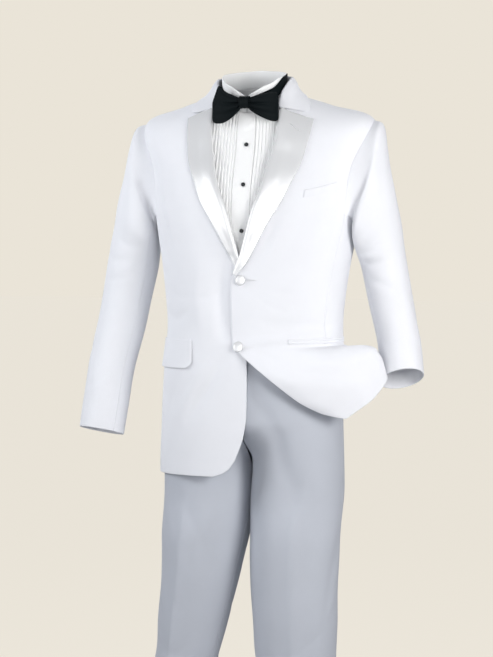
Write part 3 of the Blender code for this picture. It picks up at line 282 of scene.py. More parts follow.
def ring_points(angle, level):
    """Points on the jacket's outside."""
    row = smooth_rows(RINGS, level)
    side_z, front_z, back_z, half_width, front_y, back_y, side_y, square = np.moveaxis(row, -1, 0)
    sine = np.sin(np.radians(angle))
    cosine = np.cos(np.radians(angle))
    end_y = np.where(cosine >= 0, front_y, back_y)
    end_z = np.where(cosine >= 0, front_z, back_z)
    x = half_width * np.copysign(np.abs(sine) ** (2 / square), sine)
    y = side_y + (end_y - side_y) * np.abs(cosine) ** (2 / square)
    z = side_z + (end_z - side_z) * cosine * cosine
    return np.stack((x, y, z), axis=-1)


def angle_at(x, level):
    """The ring angle on the front that lies at x."""
    row = smooth_rows(RINGS, level)
    share = np.minimum(np.abs(x) / row[..., 3], 0.999)
    return np.copysign(np.degrees(np.arcsin(share ** (row[..., 7] / 2))), x)


SWEPT_MOVES = np.array([np.zeros((len(SWEPT_ANGLES), 3))] + [
    np.array(row) - ring_points(SWEPT_ANGLES, np.full(len(SWEPT_ANGLES), LOWER_BUTTON * (1 - share)))
    for share, row in zip(SWEPT_SHARES[1:], SWEPT)
])


def swept_points(angle, level):
    """Points on the wearer's left side, with its quarter swept back."""
    share = np.clip((LOWER_BUTTON - level) / LOWER_BUTTON, 0.0, 1.0)
    down = spline_weights(np.interp(share, SWEPT_SHARES, range(len(SWEPT_SHARES))), len(SWEPT_SHARES))
    across = spline_weights(np.interp(angle, SWEPT_ANGLES, range(len(SWEPT_ANGLES))), len(SWEPT_ANGLES))
    return ring_points(angle, level) + np.einsum("...r,...a,rac->...c", down, across, SWEPT_MOVES)


def unit(vectors):
    """Each vector at a length of one."""
    return vectors / np.maximum(np.linalg.norm(vectors, axis=-1, keepdims=True), 1e-12)


def normals_of(surface, across, up, step_across=0.4, step_up=0.02, low=0.021, high=9.979):
    """Unit normals of a surface, its across direction crossed with its up direction."""
    up = np.clip(up, low, high)
    along = surface(across + step_across, up) - surface(across - step_across, up)
    rising = surface(across, up + step_up) - surface(across, up - step_up)
    return unit(np.cross(along, rising))


def fold_lines(folds, surface):
    """Each fold's line in space, with its half width and height in metres."""
    lines = []
    for half_width, height, anchors in folds:
        anchors = np.array(anchors, dtype=float)
        along = smooth_rows(anchors, np.linspace(0, len(anchors) - 1, FOLD_STEPS))
        lines.append((surface(along[:, 0], along[:, 1]), half_width / 1000, height / 1000))
    return lines


def fold_height(points, lines):
    """How far the folds raise each point."""
    total = np.zeros(points.shape[:-1])
    for line, half_width, height in lines:
        nearest = np.full(points.shape[:-1], 9.0)
        place = np.zeros(points.shape[:-1])
        for step in range(len(line) - 1):
            along = line[step + 1] - line[step]
            share = np.clip((points - line[step]) @ along / (along @ along), 0.0, 1.0)
            away = np.linalg.norm(points - line[step] - share[..., None] * along, axis=-1)
            place = np.where(away < nearest, (step + share) / (len(line) - 1), place)
            nearest = np.minimum(away, nearest)
        ends = np.sin(math.pi * np.clip(place, 0.002, 0.998)) ** 0.8
        total += height * ends * np.exp(-(nearest / half_width) ** 2)
    return total


def soft_height(points):
    """The broad unevenness of the cloth at each point."""
    return sum(height / 1000 * np.sin(points @ wave + turn) for *wave, turn, height in SOFT_WAVES)


def jacket_base(side, swept=True):
    """The plain surface of one side of the jacket, with its overlap at the centre."""
    base = swept_points if side > 0 and swept else ring_points

    def surface(angle, level):
        lift = (1 - fade(np.abs(angle), 5.0, 24.0)) * (1 - fade(level, 4.1, 4.9))
        lift = lift * (fade(level, 0.3, 2.4) if side > 0 else 1.0)
        normal = normals_of(base, angle, level)
        return base(angle, level) + side * FRONT_OVERLAP * lift[..., None] * normal

    return surface


JACKET_FOLD_LINES = [
    line for side in (1, -1)
    for line in fold_lines([row for row in JACKET_FOLDS if row[2][0][0] * side > 0], jacket_base(side))
]


def jacket_skin(side, angle, level, lift=0.0, swept=True):
    """The jacket's folded outside and its outward direction, moved out by a lift."""
    surface = jacket_base(side, swept)
    angle, level = np.broadcast_arrays(np.asarray(angle, dtype=float), np.asarray(level, dtype=float))
    points = surface(angle, level)
    normal = normals_of(surface, angle, level)
    height = fold_height(points, JACKET_FOLD_LINES) + soft_height(points) + lift
    return points + height[..., None] * normal, normal


def cloth_piece(name, points, faces, uv, material):
    """A smooth mesh of points and faces, with the cloth's own u and v at each point."""
    mesh = bpy.data.meshes.new(name)
    mesh.from_pydata(points.tolist(), [], faces)
    mesh.polygons.foreach_set("use_smooth", np.ones(len(mesh.polygons), dtype=bool))
    corners = np.zeros(len(mesh.loops), dtype=np.int32)
    mesh.loops.foreach_get("vertex_index", corners)
    mesh.uv_layers.new(name=CLOTH_UV).data.foreach_set("uv", uv[corners].astype(np.float32).ravel())
    mesh.materials.append(material)
    piece = bpy.data.objects.new(name, mesh)
    bpy.context.scene.collection.objects.link(piece)
    return piece


def shell(name, outer, inner, uv, material, free, wrap=False):
    """A thin closed cloth between two grids of points. free says which of its bottom, top, first and last
    edges are rounded."""
    rows, columns = outer.shape[:2]
    count = rows * columns
    index = np.arange(count).reshape(rows, columns)
    lattice = np.concatenate([index, index[:, :1]], axis=1) if wrap else index
    quads = np.stack([lattice[:-1, :-1], lattice[:-1, 1:], lattice[1:, 1:], lattice[1:, :-1]], axis=-1)
    quads = quads.reshape(-1, 4)
    edges = [(np.s_[0, :], np.s_[1, :], free[0]), (np.s_[-1, :], np.s_[-2, :], free[1])]
    if wrap:
        loops = [index[0], index[-1][::-1]]
    else:
        edges += [(np.s_[:, 0], np.s_[:, 1], free[2]), (np.s_[:, -1], np.s_[:, -2], free[3])]
        loops = [np.concatenate([index[0, :-1], index[:-1, -1], index[-1, :0:-1], index[:0:-1, 0]])]
    bulge = np.ones((rows, columns))
    away = np.zeros_like(outer)
    for edge, beside, rounded in edges:
        away[edge] += unit(outer[edge] - outer[beside])
        bulge[edge] *= 1.0 if rounded else 0.12
    wall = np.linalg.norm(outer - inner, axis=-1)
    middles = (outer + inner) / 2 + away * (bulge * wall * 0.5)[..., None]
    faces = [quads, quads[:, ::-1] + count]
    points = [outer.reshape(-1, 3), inner.reshape(-1, 3)]
    texture = [uv.reshape(-1, 2)] * 2
    start = 2 * count
    for loop in loops:
        after = np.roll(loop, -1)
        rim = start + np.arange(len(loop))
        rim_after = np.roll(rim, -1)
        faces.append(np.stack([after, loop, rim, rim_after], axis=-1))
        faces.append(np.stack([rim_after, rim, loop + count, after + count], axis=-1))
        points.append(middles.reshape(-1, 3)[loop])
        texture.append(texture[0][loop])
        start += len(loop)
    faces = np.concatenate(faces)
    row, column = rows // 2, columns // 2
    along = outer[row, column + 1] - outer[row, column - 1]
    up = outer[row + 1, column] - outer[row - 1, column]
    if np.dot(np.cross(along, up), (outer - inner)[row, column]) < 0:
        faces = faces[:, ::-1]
    return cloth_piece(name, np.concatenate(points), faces.tolist(), np.concatenate(texture), material)


def spread(count, total, lip=EDGE_LIP):
    """Shares from 0 to 1, close together at both ends where an edge is turned."""
    ends = np.array((0.0, 1.0, 2.4)) * min(lip / total, 0.04)
    middle = np.linspace(ends[-1], 1 - ends[-1], count - 4)[1:-1]
    return np.concatenate((ends, middle, 1 - ends[::-1]))


def run_length(points):
    """The length along a line of points, from its start to each point."""
    steps = np.linalg.norm(np.diff(points, axis=0), axis=-1)
    return np.concatenate(([0.0], np.cumsum(steps)))


def even_levels(surface, across, low, high, count):
    """Levels from low to high at even distances up a surface, close together at both ends."""
    fine = np.linspace(low, high, 300)
    reach = run_length(surface(np.full(300, float(across)), fine))
    return np.interp(spread(count, reach[-1]) * reach[-1], reach, fine)


def panel_lattice(surface, levels, edges, columns):
    """Positions across and up a panel between its two seams, and the cloth's own u and v in metres."""
    starts, ends = edges(levels)
    widths = [run_length(surface(np.linspace(start, end, 9), np.full(9, level)))[-1]
              for level, start, end in zip(levels, starts, ends)]
    gaps = [min(SEAM / 2 / width, 0.1) for width in widths]
    shares = np.array([gap + (1 - 2 * gap) * spread(columns, width) for gap, width in zip(gaps, widths)])
    across = starts[:, None] + (ends - starts)[:, None] * shares
    up = np.broadcast_to(levels[:, None], across.shape)
    v = run_length(surface((starts + ends) / 2, levels))
    return across, up, np.stack((shares * np.mean(widths), np.broadcast_to(v[:, None], up.shape)), axis=-1)


def sink_seams(points, normal, free):
    """Each sewn edge turns in, so that the seam is a fine groove."""
    edges = (np.s_[0, :], np.s_[-1, :], np.s_[:, 0], np.s_[:, -1])
    for edge, rounded in zip(edges, free):
        if not rounded:
            points[edge] -= SEAM_SINK * normal[edge]
    return points


def cloth_finish(name, colour, thread, rough, mottle, sheen=0.0, twill=False, metal=0.0, crossing=0.0,
                 weave=0.35, gleam=0.5):
    """A woven finish: its threads follow the piece's own u and v, with painted shade in the weave's low
    places, and its unevenness the piece's place.
    """
    material, tree, shader = new_finish(name, {
        "Sheen Weight": sheen, "Sheen Roughness": 0.45, "Metallic": metal, "Specular IOR Level": gleam,
        "Anisotropic": crossing})
    threads = output_of(tree, "ShaderNodeUVMap", uv_map=CLOTH_UV)
    counted = output_of(tree, "ShaderNodeVectorMath", {0: threads, "Scale": 2 * math.pi / thread},
                        operation="SCALE")
    split = output_of(tree, "ShaderNodeSeparateXYZ", {0: counted}).node.outputs
    if twill:
        slope = output_of(tree, "ShaderNodeMath", {0: split["X"], 1: 0.45, 2: split["Y"]},
                          operation="MULTIPLY_ADD")
        height = output_of(tree, "ShaderNodeMath", {0: slope}, operation="SINE")
    else:
        waves = [output_of(tree, "ShaderNodeMath", {0: split[axis]}, operation="SINE") for axis in "XY"]
        height = output_of(tree, "ShaderNodeMath", {0: waves[0], 1: waves[1]}, operation="MULTIPLY")
    place = output_of(tree, "ShaderNodeTexCoord", {}, "Object")
    broad = output_of(tree, "ShaderNodeTexNoise", {"Vector": place, "Scale": 26.0, "Detail": 4.0})
    nap = output_of(tree, "ShaderNodeTexNoise", {"Vector": place, "Scale": 900.0, "Detail": 2.0})
    tint = blend(tree, broad, [part * (1 - mottle) for part in colour],
                 [min(part * (1 + mottle), 0.97) for part in colour])
    # Painted shade: the weave's low places are up to 6% darker, as if shade fell between the threads.
    painted_weave_shade = output_of(tree, "ShaderNodeMapRange", {
        "Value": height, "From Min": -1.0, "From Max": 1.0, "To Min": 0.94, "To Max": 1.0})
    shaded = output_of(tree, "ShaderNodeMix", {"Factor": 1.0, "A": tint, "B": painted_weave_shade}, "Result",
                       data_type="RGBA", blend_type="MULTIPLY")
    gloss = output_of(tree, "ShaderNodeMapRange", {
        "Value": broad, "To Min": rough - 0.05, "To Max": rough + 0.05})
    fuzz = output_of(tree, "ShaderNodeBump", {"Strength": 0.25, "Distance": 0.0002, "Height": nap})
    woven = output_of(tree, "ShaderNodeBump", {
        "Strength": weave, "Distance": 0.00012, "Height": height, "Normal": fuzz})
    feed(shader, {"Base Color": shaded, "Roughness": gloss, "Normal": woven})
    return material


def stands_for(piece, node):
    """The piece rides the one body and replaces its node."""
    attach(piece, "root")
    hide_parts(node)


def belongs(piece, node):
    """The piece stands for its node."""
    stands_for(piece, node)


wool = cloth_finish("white_wool", WOOL_WHITE, WOOL_THREAD, rough=0.84, mottle=0.018, sheen=0.18)


def front_edges(side):
    """A front's free edge or neckline, and its side seam, armhole or shoulder seam."""
    below = FRONT_EDGE[side]
    above = [below[-1]] + [(row[0], row[1]) for row in LAPEL[side]] + [(9.0, 0.0660)]

    def edges(level):
        edge_x = np.where(level <= TOP_BUTTON, smooth_between(below, level),
                          np.interp(level, *np.array(above).T))
        start = angle_at(edge_x, level)
        if side > 0:
            start = start + 9.0 * np.clip(1 - level / 0.4, 0.0, 1.0) ** 2
        return side * start, side * np.where(level < 5.0, side_seam(level), outer_edge(level, ARMHOLE[:7]))

    return edges


def outer_edge(level, rows):
    """The side seam below the armhole, the armhole's curve, and the shoulder seam above it."""
    place = np.linspace(0, len(rows) - 1, 120)
    curve = smooth_rows(rows, place)
    if curve[0, 1] > curve[-1, 1]:
        curve = curve[::-1]
    return np.interp(level, curve[:, 1], curve[:, 0])


def back_edges(side):
    """A back's side seam, armhole or shoulder seam, and the centre back seam."""
    vent = 15.0 if side > 0 else 1.0

    def edges(level):
        start = outer_edge(level, ARMHOLE[6:]) + vent * (1 - fade(level, 0.0, 2.6))
        return side * start, side * np.full(len(level), 180.0)

    return edges


def side_seam(level):
    """The front side seam's angle, which curves back into the armhole."""
    return SIDE_SEAM + 6.0 * fade(level, 3.7, 5.0)


def side_edges(side):
    """A side panel's two seams."""
    return lambda level: (side * side_seam(level), side * np.full(len(level), 180.0 - SIDE_SEAM))


# name, edges, swept, top, middle_angle, columns, rows, free, then width, length and area left and right
JACKET_PANELS = (
    ("front", front_edges, True, 9.0, 40.0, 74, 210, (True, False, True, False), (0.25, 0.80, 0.125),
     (0.25, 0.86, 0.145)),
    ("side", side_edges, True, 5.0, 90.0, 34, 130, (True, False, False, False), (0.15, 0.42, 0.049),
     (0.15, 0.53, 0.069)),
    ("back", back_edges, False, 9.0, 150.0, 60, 190, (True, False, False, False), (0.24, 0.85, 0.149),
     (0.24, 0.85, 0.153)),
)
SIDES = (("left", 1), ("right", -1))
for side_name, side in SIDES:
    for name, edges, swept, top, middle_angle, columns, rows, free, *cuts in JACKET_PANELS:
        surface = jacket_base(side, swept)
        levels = even_levels(surface, side * middle_angle, 0.0, top, rows)
        across, up, uv = panel_lattice(surface, levels, edges(side), columns)
        outer, normal = jacket_skin(side, across, up, 0.0, swept)
        outer = sink_seams(outer, normal, free)
        piece = shell(f"jacket_{name}_{side_name}_cloth", outer, outer - JACKET_WALL * normal, uv, wool, free)
        belongs(piece, f"jacket_{name}_{side_name}")

# Sleeves. Two-piece sleeves, a wide top half and a narrow under half, set into the armholes over a firm
# shoulder. The wearer's left arm is bent, and that cuff ends beside the swept quarter.
SLEEVE_GAP = 0.00015
SLEEVE_SINK = 0.0012
# The turns of the sleeve that meet the armhole's seam, then the whole line round the armhole and the same
# line on the sleeve: angle, level, turn
SLEEVE_TURNS = (142, 124, 104, 82, 55, 30, 0, -30, -55, -82, -104, -124, -142)
SLEEVE_LOOP = np.vstack((
    ((90, 5, 180), (79, 5, 160)),
    np.column_stack((ARMHOLE, SLEEVE_TURNS)),
    ((104, 5, -160), (90, 5, -180), (79, 5, -200), (68, 5, -218)),
    ((67.5, 5.4, -236),),
))
ARMHOLE_ROWS = (2, 14)
# Sections down the sleeve in millimetres: outer_x, outer_z, inner_x, inner_z, middle_y, half_depth,
# front_lift, fullness
SLEEVES = {
    -1: (
        (257, -59, 206.8, -262, 21, 54, 0, 12), (268, -100, 207.2, -276, 18, 61, 0, 15),
        (278.5, -155, 207.5, -288, 15, 65, 0, 13), (291, -210, 208.5, -300, 13, 65, 2, 10),
        (301.5, -262, 210, -318, 13, 59, 3, 5), (314, -330, 214.5, -352, 12, 55, 4, 0),
        (330.5, -424, 234.5, -438, 8, 52, 6, 0), (346, -540, 255, -554, -18, 49, 9, 0),
        (355, -663, 266.5, -674, -48, 46, 10, 0),
    ),
    1: (
        (254, -58, 206.8, -262, 18, 51, 0, 16), (261, -98, 206, -276, 16, 58, 0, 18),
        (268, -150, 205, -288, 20, 63, 0, 17), (278, -205, 203.5, -300, 30, 64, -2, 12),
        (286.5, -258, 203.5, -318, 43, 58, -4, 6), (294.5, -325, 206.5, -348, 55, 53, -2, 0),
        (308, -400, 221, -414, 52, 51, 6, 0), (327, -480, 242, -496, 36, 49, 14, 0),
        (337, -544, 249, -568, 18, 46, 20, 0),
    ),
}
FULLEST_TURN = math.radians(140.0)
# Soft folds as before, along a row of the loop and a section of the sleeve
SLEEVE_FOLDS = {
    -1: (
        (10, -2.2, ((3.6, 5.6), (5.5, 5.9), (7.6, 5.7))), (9, -1.8, ((3.2, 6.1), (5, 6.35), (7, 6.4))),
        (10, -1.5, ((3, 5), (4.8, 5.2), (6.4, 5))), (13, -2, ((6.6, 1.8), (6, 3.2), (5.2, 4.5))),
        (14, 1.6, ((8.2, 2.2), (7.6, 3.6), (6.8, 4.9))), (9, -1.3, ((4.6, 7.1), (6.6, 7.6), (8.4, 7.9))),
        (8, -1.1, ((4, 8), (5.4, 8.3), (6.6, 8.3))), (9, -1.6, ((9.6, 5.5), (11.5, 5.8), (13.2, 5.6))),
        (12, -1.6, ((12.2, 2.8), (11.5, 4.2), (11, 5.2))), (10, -2, ((4, 0.5), (4.6, 1.6), (4.9, 2.8))),
        (10, -1.8, ((11.8, 0.6), (11.4, 1.7), (11, 2.9))),
    ),
    1: (
        (9, -3, ((2.3, 5), (4.2, 5.2), (6.2, 5))), (8, -2.6, ((2.2, 5.6), (4.2, 5.8), (6.6, 5.9))),
        (8, -1.9, ((2.6, 6.3), (4.4, 6.5), (6.4, 6.9))), (9, -0.9, ((3, 4.3), (4.6, 4.4), (6.2, 4.1))),
        (9, 1.6, ((3, 5.3), (4.6, 5.5), (6.4, 5.45))), (13, -1.8, ((6.9, 1.3), (6.6, 3), (5.9, 4.5))),
        (14, 1.4, ((8.4, 2), (8, 3.6), (7.4, 5))), (11, -1.5, ((7.2, 6.6), (8.4, 7.6), (9.2, 8.5))),
        (9, -1.4, ((9.8, 5), (11.5, 5.3), (13, 5.1))), (9, -1.2, ((10, 6), (11.6, 6.2), (12.8, 6))),
        (10, -1, ((4, 0.7), (4.5, 1.6), (4.9, 2.7))), (10, -1.8, ((11.8, 0.6), (11.4, 1.7), (11, 2.9))),
    ),
}
SLEEVE_SECTIONS = 10


def armhole_place(place):
    """The angle and level of the armhole's seam at fractional rows of the loop."""
    low, high = ARMHOLE_ROWS
    rows = np.arange(len(SLEEVE_LOOP))
    curved = smooth_rows(SLEEVE_LOOP[low:high + 1, :2], place - low)
    straight = np.stack([np.interp(place, rows, SLEEVE_LOOP[:, column]) for column in (0, 1)], axis=-1)
    inside = ((place >= low) & (place <= high))[..., None]
    return np.moveaxis(np.where(inside, curved, straight), -1, 0)


def armhole_points(place):
    """Points just outside the armhole's seam at fractional rows of the loop."""
    angle, level = armhole_place(place)
    point = ring_points(angle, level)
    normal = normals_of(ring_points, angle, level)
    towards = ring_points(np.array(90.0), np.array(6.0)) - point
    towards = towards - normal * np.sum(towards * normal, axis=-1, keepdims=True)
    return point + SLEEVE_GAP * unit(towards)


def sleeve_surface(side):
    """A sleeve's outside at a fractional row of the loop and section."""
    outer_x, outer_z, inner_x, inner_z, middle_y, half_depth, front_lift, fullness = (
        np.array(SLEEVES[side]).T / 1000)

    def surface(place, step):
        turn = np.radians(smooth_rows(SLEEVE_LOOP[:, 2:3], place)[..., 0])[..., None]
        cosine = np.cos(turn)
        sine = np.sin(turn)
        fuller = fullness * np.maximum(0.0, np.cos(turn - FULLEST_TURN)) ** 3
        x = (outer_x + inner_x) / 2 + cosine * (outer_x - inner_x) / 2 - 0.35 * fuller
        y = middle_y - sine * half_depth - fuller
        z = (outer_z + inner_z) / 2 + cosine * (outer_z - inner_z) / 2 + sine * front_lift
        lines = np.stack(np.broadcast_arrays(x, y, z), axis=-1)
        lines = np.concatenate([armhole_points(place)[..., None, :], lines], axis=-2)
        points = np.einsum("...s,...sc->...c", spline_weights(step, SLEEVE_SECTIONS), lines)
        return points * np.array((side, 1.0, 1.0))

    return surface


# name, first, last, columns, then width, length and area left and right
SLEEVE_PANELS = (
    ("top", 2.0, 13.0, 62, (0.3, 0.56, 0.111), (0.3, 0.66, 0.142)),
    ("under", 13.0, 18.0, 36, (0.13, 0.38, 0.034), (0.13, 0.48, 0.042)),
)
for side_name, side in SIDES:
    surface = sleeve_surface(side)
    lines = fold_lines(SLEEVE_FOLDS[side], surface)
    for name, first, last, columns, *cuts in SLEEVE_PANELS:
        levels = even_levels(surface, (first + last) / 2, 0.0, 9.0, 150)
        edges = [np.full(len(levels), place) for place in (first, last)]
        across, up, uv = panel_lattice(surface, levels, lambda level: edges, columns)
        points = surface(across, up)
        normal = -side * normals_of(surface, across, up, 0.05, 0.02, 0.021, 8.979)
        height = (fold_height(points, lines) + soft_height(points)) * fade(up, 0.0, 0.9)
        armhole_angle, armhole_level = armhole_place(across[0])
        seam_points, seam_normal = jacket_skin(side, side * armhole_angle, armhole_level)
        moved = seam_points - SEAM_SINK * seam_normal
        moved = moved - jacket_base(side)(side * armhole_angle, armhole_level)
        outer = points + height[..., None] * normal + moved[None] * (1 - fade(up, 0.0, 0.7))[..., None]
        outer[0] -= SLEEVE_SINK * seam_normal
        for edge in (np.s_[:, 0], np.s_[:, -1]):
            outer[edge] -= SEAM_SINK * normal[edge]
        piece = shell(f"sleeve_{name}_{side_name}_cloth", outer, outer - JACKET_WALL * normal, uv, wool,
                      (False, True, False, False))
        belongs(piece, f"sleeve_{name}_{side_name}")

# Lapels. Notch lapels faced in heavy white satin. Each turns back on a soft roll from the top button
# to the collar, and lies on its front in one long belly.
LAPEL_WALL = 0.0018
SATIN_WHITE = (0.9, 0.905, 0.91)
SATIN_THREAD = 0.0009
LAPEL_ROLL = ((-0.0014, -0.0011), (-0.0034, -0.0002), (-0.0042, 0.0022), (-0.0024, 0.0048), (0.004, 0.0056))
LAPEL_LIE = ((0.2, 0.0046), (0.4, 0.0034), (0.6, 0.0028), (0.8, 0.0025), (1.0, 0.0023))
LAPEL_FLAT = 0.0023
LAPEL_FULL = 0.030
LAPEL_TURN = 0.12
LAPEL_START = {1: 0.0, -1: 0.35}
LAPEL_FOOT = {1: (-0.5, 0.9), -1: (0.35, 1.4)}
GORGE_RISE = 0.055
NOTCH = 0.65
ALL_FREE = (True, True, True, True)
satin = cloth_finish("white_satin", SATIN_WHITE, SATIN_THREAD, rough=0.22, mottle=0.01, sheen=0.05,
                     twill=True, metal=0.42, crossing=0.3, weave=0.12)


def lapel_foot(side, step):
    """How far a lapel is turned near its foot, where it runs out flat; the right one is under the left."""
    return 0.30 + 0.70 * fade(step, *LAPEL_FOOT[side])


def lapel_points(side, step):
    """Lines across the middle of a lapel at fractional sections. Its top meets the collar up to the notch."""
    roll_level, roll_x, edge_level, edge_x = np.moveaxis(smooth_rows(LAPEL[side], step), -1, 0)
    roll_angle = angle_at(roll_x, roll_level)
    edge_angle = angle_at(edge_x, edge_level)
    at_roll, normal = jacket_skin(side, side * roll_angle, roll_level)
    ahead = jacket_skin(side, side * (roll_angle + 0.5), roll_level)[0]
    behind = jacket_skin(side, side * (roll_angle - 0.5), roll_level)[0]
    along = unit(ahead - behind)
    narrow = np.minimum(1.0, (edge_x - roll_x) / LAPEL_FULL)[:, None]
    foot = lapel_foot(side, step)
    lines = []
    for across, height in LAPEL_ROLL:
        height = height * (1.0 if height < LAPEL_FLAT else 0.38 + 0.62 * narrow)
        out = across * (narrow if across > 0 else 1.0)
        lines.append(at_roll + (along * out + normal * height) * foot[:, None])
    for share, height in LAPEL_LIE:
        share = LAPEL_TURN + (1 - LAPEL_TURN) * share
        angle = roll_angle + (edge_angle - roll_angle) * share
        level = roll_level + (edge_level - roll_level) * share
        level = level + GORGE_RISE * min(1.0, (1 - share) / (1 - NOTCH)) * fade(step, 7.2, 8.0)
        height = LAPEL_FLAT + (height - LAPEL_FLAT) * narrow[:, 0]
        lines.append(jacket_skin(side, side * angle, level, height * foot)[0])
    return np.stack(lines, axis=1)


def resampled(points, shares, axis):
    """A grid of points at fractional places along one axis, on smooth curves."""
    place = np.asarray(shares) * (points.shape[axis] - 1)
    weights = spline_weights(place, points.shape[axis])
    return np.moveaxis(np.tensordot(weights, np.moveaxis(points, axis, 0), axes=(1, 0)), 0, axis)


def lattice_uv(points):
    """The cloth's own u and v in metres over a grid of points."""
    u = run_length(points[points.shape[0] // 2])
    v = run_length(points[:, points.shape[1] // 2])
    return np.stack(np.meshgrid(u, v), axis=-1)


def lattice_normals(points, wrap=False):
    """Unit normals of a grid of points, along its columns crossed with up its rows."""
    if wrap:
        return lattice_normals(np.concatenate([points[:, -1:], points, points[:, :1]], axis=1))[:, 1:-1]
    return unit(np.cross(np.gradient(points, axis=1), np.gradient(points, axis=0)))


def both_faces(name, middle, wall, material, free, wrap=False):
    """A cloth of even thickness on both sides of a grid of points."""
    half_wall = lattice_normals(middle, wrap) * wall / 2
    return shell(name, middle + half_wall, middle - half_wall, lattice_uv(middle), material, free, wrap)


for side_name, side in SIDES:
    steps = LAPEL_START[side] + (8.0 - LAPEL_START[side]) * spread(120, 0.42)
    middle = resampled(lapel_points(side, steps), spread(44, 0.10), 1)
    wall = LAPEL_WALL * lapel_foot(side, steps)[:, None, None]
    piece = both_faces(f"lapel_{side_name}_satin", middle, wall, satin, ALL_FREE)
    belongs(piece, f"lapel_{side_name}")

# Collar. A stand sewn to the neck seam and a leaf that folds over it, in the jacket's wool. Its ends
# meet the lapels at the gorge and leave an open notch.
COLLAR_WALL = 0.0018
COLLAR_LIE = 0.0026
# angle, base_level, stand, leaf_angle, leaf_level
COLLAR = (
    (43.3, 8.73, 0.0045, 55.5, 8.12), (50.8, 8.88, 0.0085, 61.5, 8.2), (60, 9, 0.0125, 68, 8.3),
    (75, 9, 0.0205, 78.5, 8.48), (90, 9, 0.026, 91, 8.6), (115, 9, 0.0295, 115, 8.7),
    (150, 9, 0.033, 150, 8.75), (180, 9, 0.033, 180, 8.77),
)
# share_across, dip of the collar's end at the notch
COLLAR_DIP = ((0.22, 0.05), (0.45, 0.09), (0.68, 0.125), (0.84, 0.095), (1.0, 0.03))
# Up the stand and over its fold: share of its height, extra height, distance out
STAND = (
    (0.0, 0.0015, -0.0012), (0.5, 0.0, -0.003), (1.0, -0.0026, -0.003), (1.0, 0.0, 0.0),
    (1.0, -0.0026, 0.003),
)
LEAF_OVER = 0.003
UP = np.array((0.0, 0.0, 1.0))
MIRROR = np.array((-1.0, 1.0, 1.0))


def outwards(angle):
    """Level unit directions out of the neck at each angle."""
    turn = np.radians(angle)
    return np.stack((np.sin(turn), -np.cos(turn), 0 * turn), axis=-1)


steps = 7.0 * spread(90, 0.36)
angle, base_level, stand_height, leaf_angle, leaf_level = np.moveaxis(smooth_rows(COLLAR, steps), -1, 0)
base = ring_points(angle, base_level)
out = outwards(angle)
rise = stand_height[:, None] * UP
lines = [base + rise * share + UP * extra + out * away for share, extra, away in STAND]
for share, dip in COLLAR_DIP:
    at_angle = angle + (leaf_angle - angle) * share
    at_level = base_level + (leaf_level - base_level) * share - dip * (1 - fade(steps, 0.0, 1.1))
    lie = ring_points(at_angle, at_level)
    lie = lie + (COLLAR_LIE + COLLAR_WALL / 2) * normals_of(ring_points, at_angle, at_level)
    over = (stand_height - LEAF_OVER)[:, None] * UP * (1 - share) ** 1.4
    lines.append(lie + over + out * LEAF_OVER * (1 - share))
half_collar = resampled(np.stack(lines, axis=1), spread(40, 0.07), 1)
collar = np.concatenate([half_collar, half_collar[:-1][::-1] * MIRROR])
piece = both_faces("collar_cloth", collar, COLLAR_WALL, wool, (True, True, False, True))
belongs(piece, "collar")

# Pockets. A flap on the wearer's right hip, two narrow jets on the left where the flap is tucked in, and
# a slanted breast welt, all in the jacket's wool and topped by the seams that hold them.
LAID_ON = 0.0009
POCKET_LEVEL = 2.64
POCKET_ANGLES = (30.0, 94.0)
FLAP_DROP = 0.50
FLAP_WALL = 0.0020
JET_WALL = 0.0005
JET_RISE = 0.0016
JET_LEVELS = 0.09
# The breast welt: first angle and reach, then level, slant and width in levels
CHEST_POCKET = (31.0, 24.0, 5.44, 0.1, 0.2)


def laid_piece(name, side, across, up, under, wall, free):
    """A small cloth on the jacket: under is the height of its underside."""
    low, normal = jacket_skin(side, side * across, up, under)
    top = low + np.asarray(wall)[..., None] * normal
    return shell(name, top, low, lattice_uv(top), wool, free)


def flap_places(down, across_share):
    """Angles, levels and underside heights on the flap at shares of its drop and of its width."""
    corner = 5.0 * np.clip((down - 0.75) / 0.25, 0.0, 1.0) ** 2
    first = POCKET_ANGLES[0] + corner - 2.0 * down
    last = POCKET_ANGLES[1] - corner + 2.0 * down
    under = LAID_ON + (0.0016 + 0.0008 * np.cos(7.0 * across_share)) * down ** 2
    return first + (last - first) * across_share, POCKET_LEVEL - FLAP_DROP * down, under


across_share, down = np.meshgrid(spread(52, 0.15), spread(26, 0.055)[::-1])
piece = laid_piece("pocket_flap_right_cloth", -1, *flap_places(down, across_share), FLAP_WALL,
                   (True, False, True, True))
belongs(piece, "pocket_flap_right")

up_share = spread(22, 0.0095)[:, None]
across = POCKET_ANGLES[0] + (POCKET_ANGLES[1] - POCKET_ANGLES[0]) * spread(60, 0.16)
jets = JET_WALL + JET_RISE * np.abs(np.sin(2 * math.pi * up_share)) ** 0.8 + 0 * across
up = POCKET_LEVEL + JET_LEVELS * (up_share - 0.5)
piece = laid_piece("pocket_welt_left_cloth", 1, across, up, 0.0003, jets, (False, False, False, False))
belongs(piece, "pocket_welt_left")

across_share, up_share = np.meshgrid(spread(44, 0.09), spread(20, 0.020))
first, reach, level, slant, width = CHEST_POCKET
piece = laid_piece("chest_welt_cloth", 1, first + reach * across_share,
                   level + slant * across_share + width * up_share, 0.0004, 0.0021, (False, True, True, True))
belongs(piece, "chest_welt")

# Buttons. Two domed buttons covered in the lapel's satin, sewn through the overlap of the fronts. The
# cover is gathered towards the back, so that fine tucks run over the rim.
BUTTON_RADIUS = 0.0105
BUTTON_DEPTH = 0.0045
BUTTON_SIDES = 56
BUTTON_TUCKS = 18
TUCK_RISE = 0.022
BUTTON_PROFILE = (
    (0.02, 0.0), (0.72, 0.0), (0.93, 0.14), (1.0, 0.4), (0.98, 0.62), (0.88, 0.82), (0.68, 0.94), (0.4, 1.01),
    (0.16, 1.04), (0.01, 1.045),
)


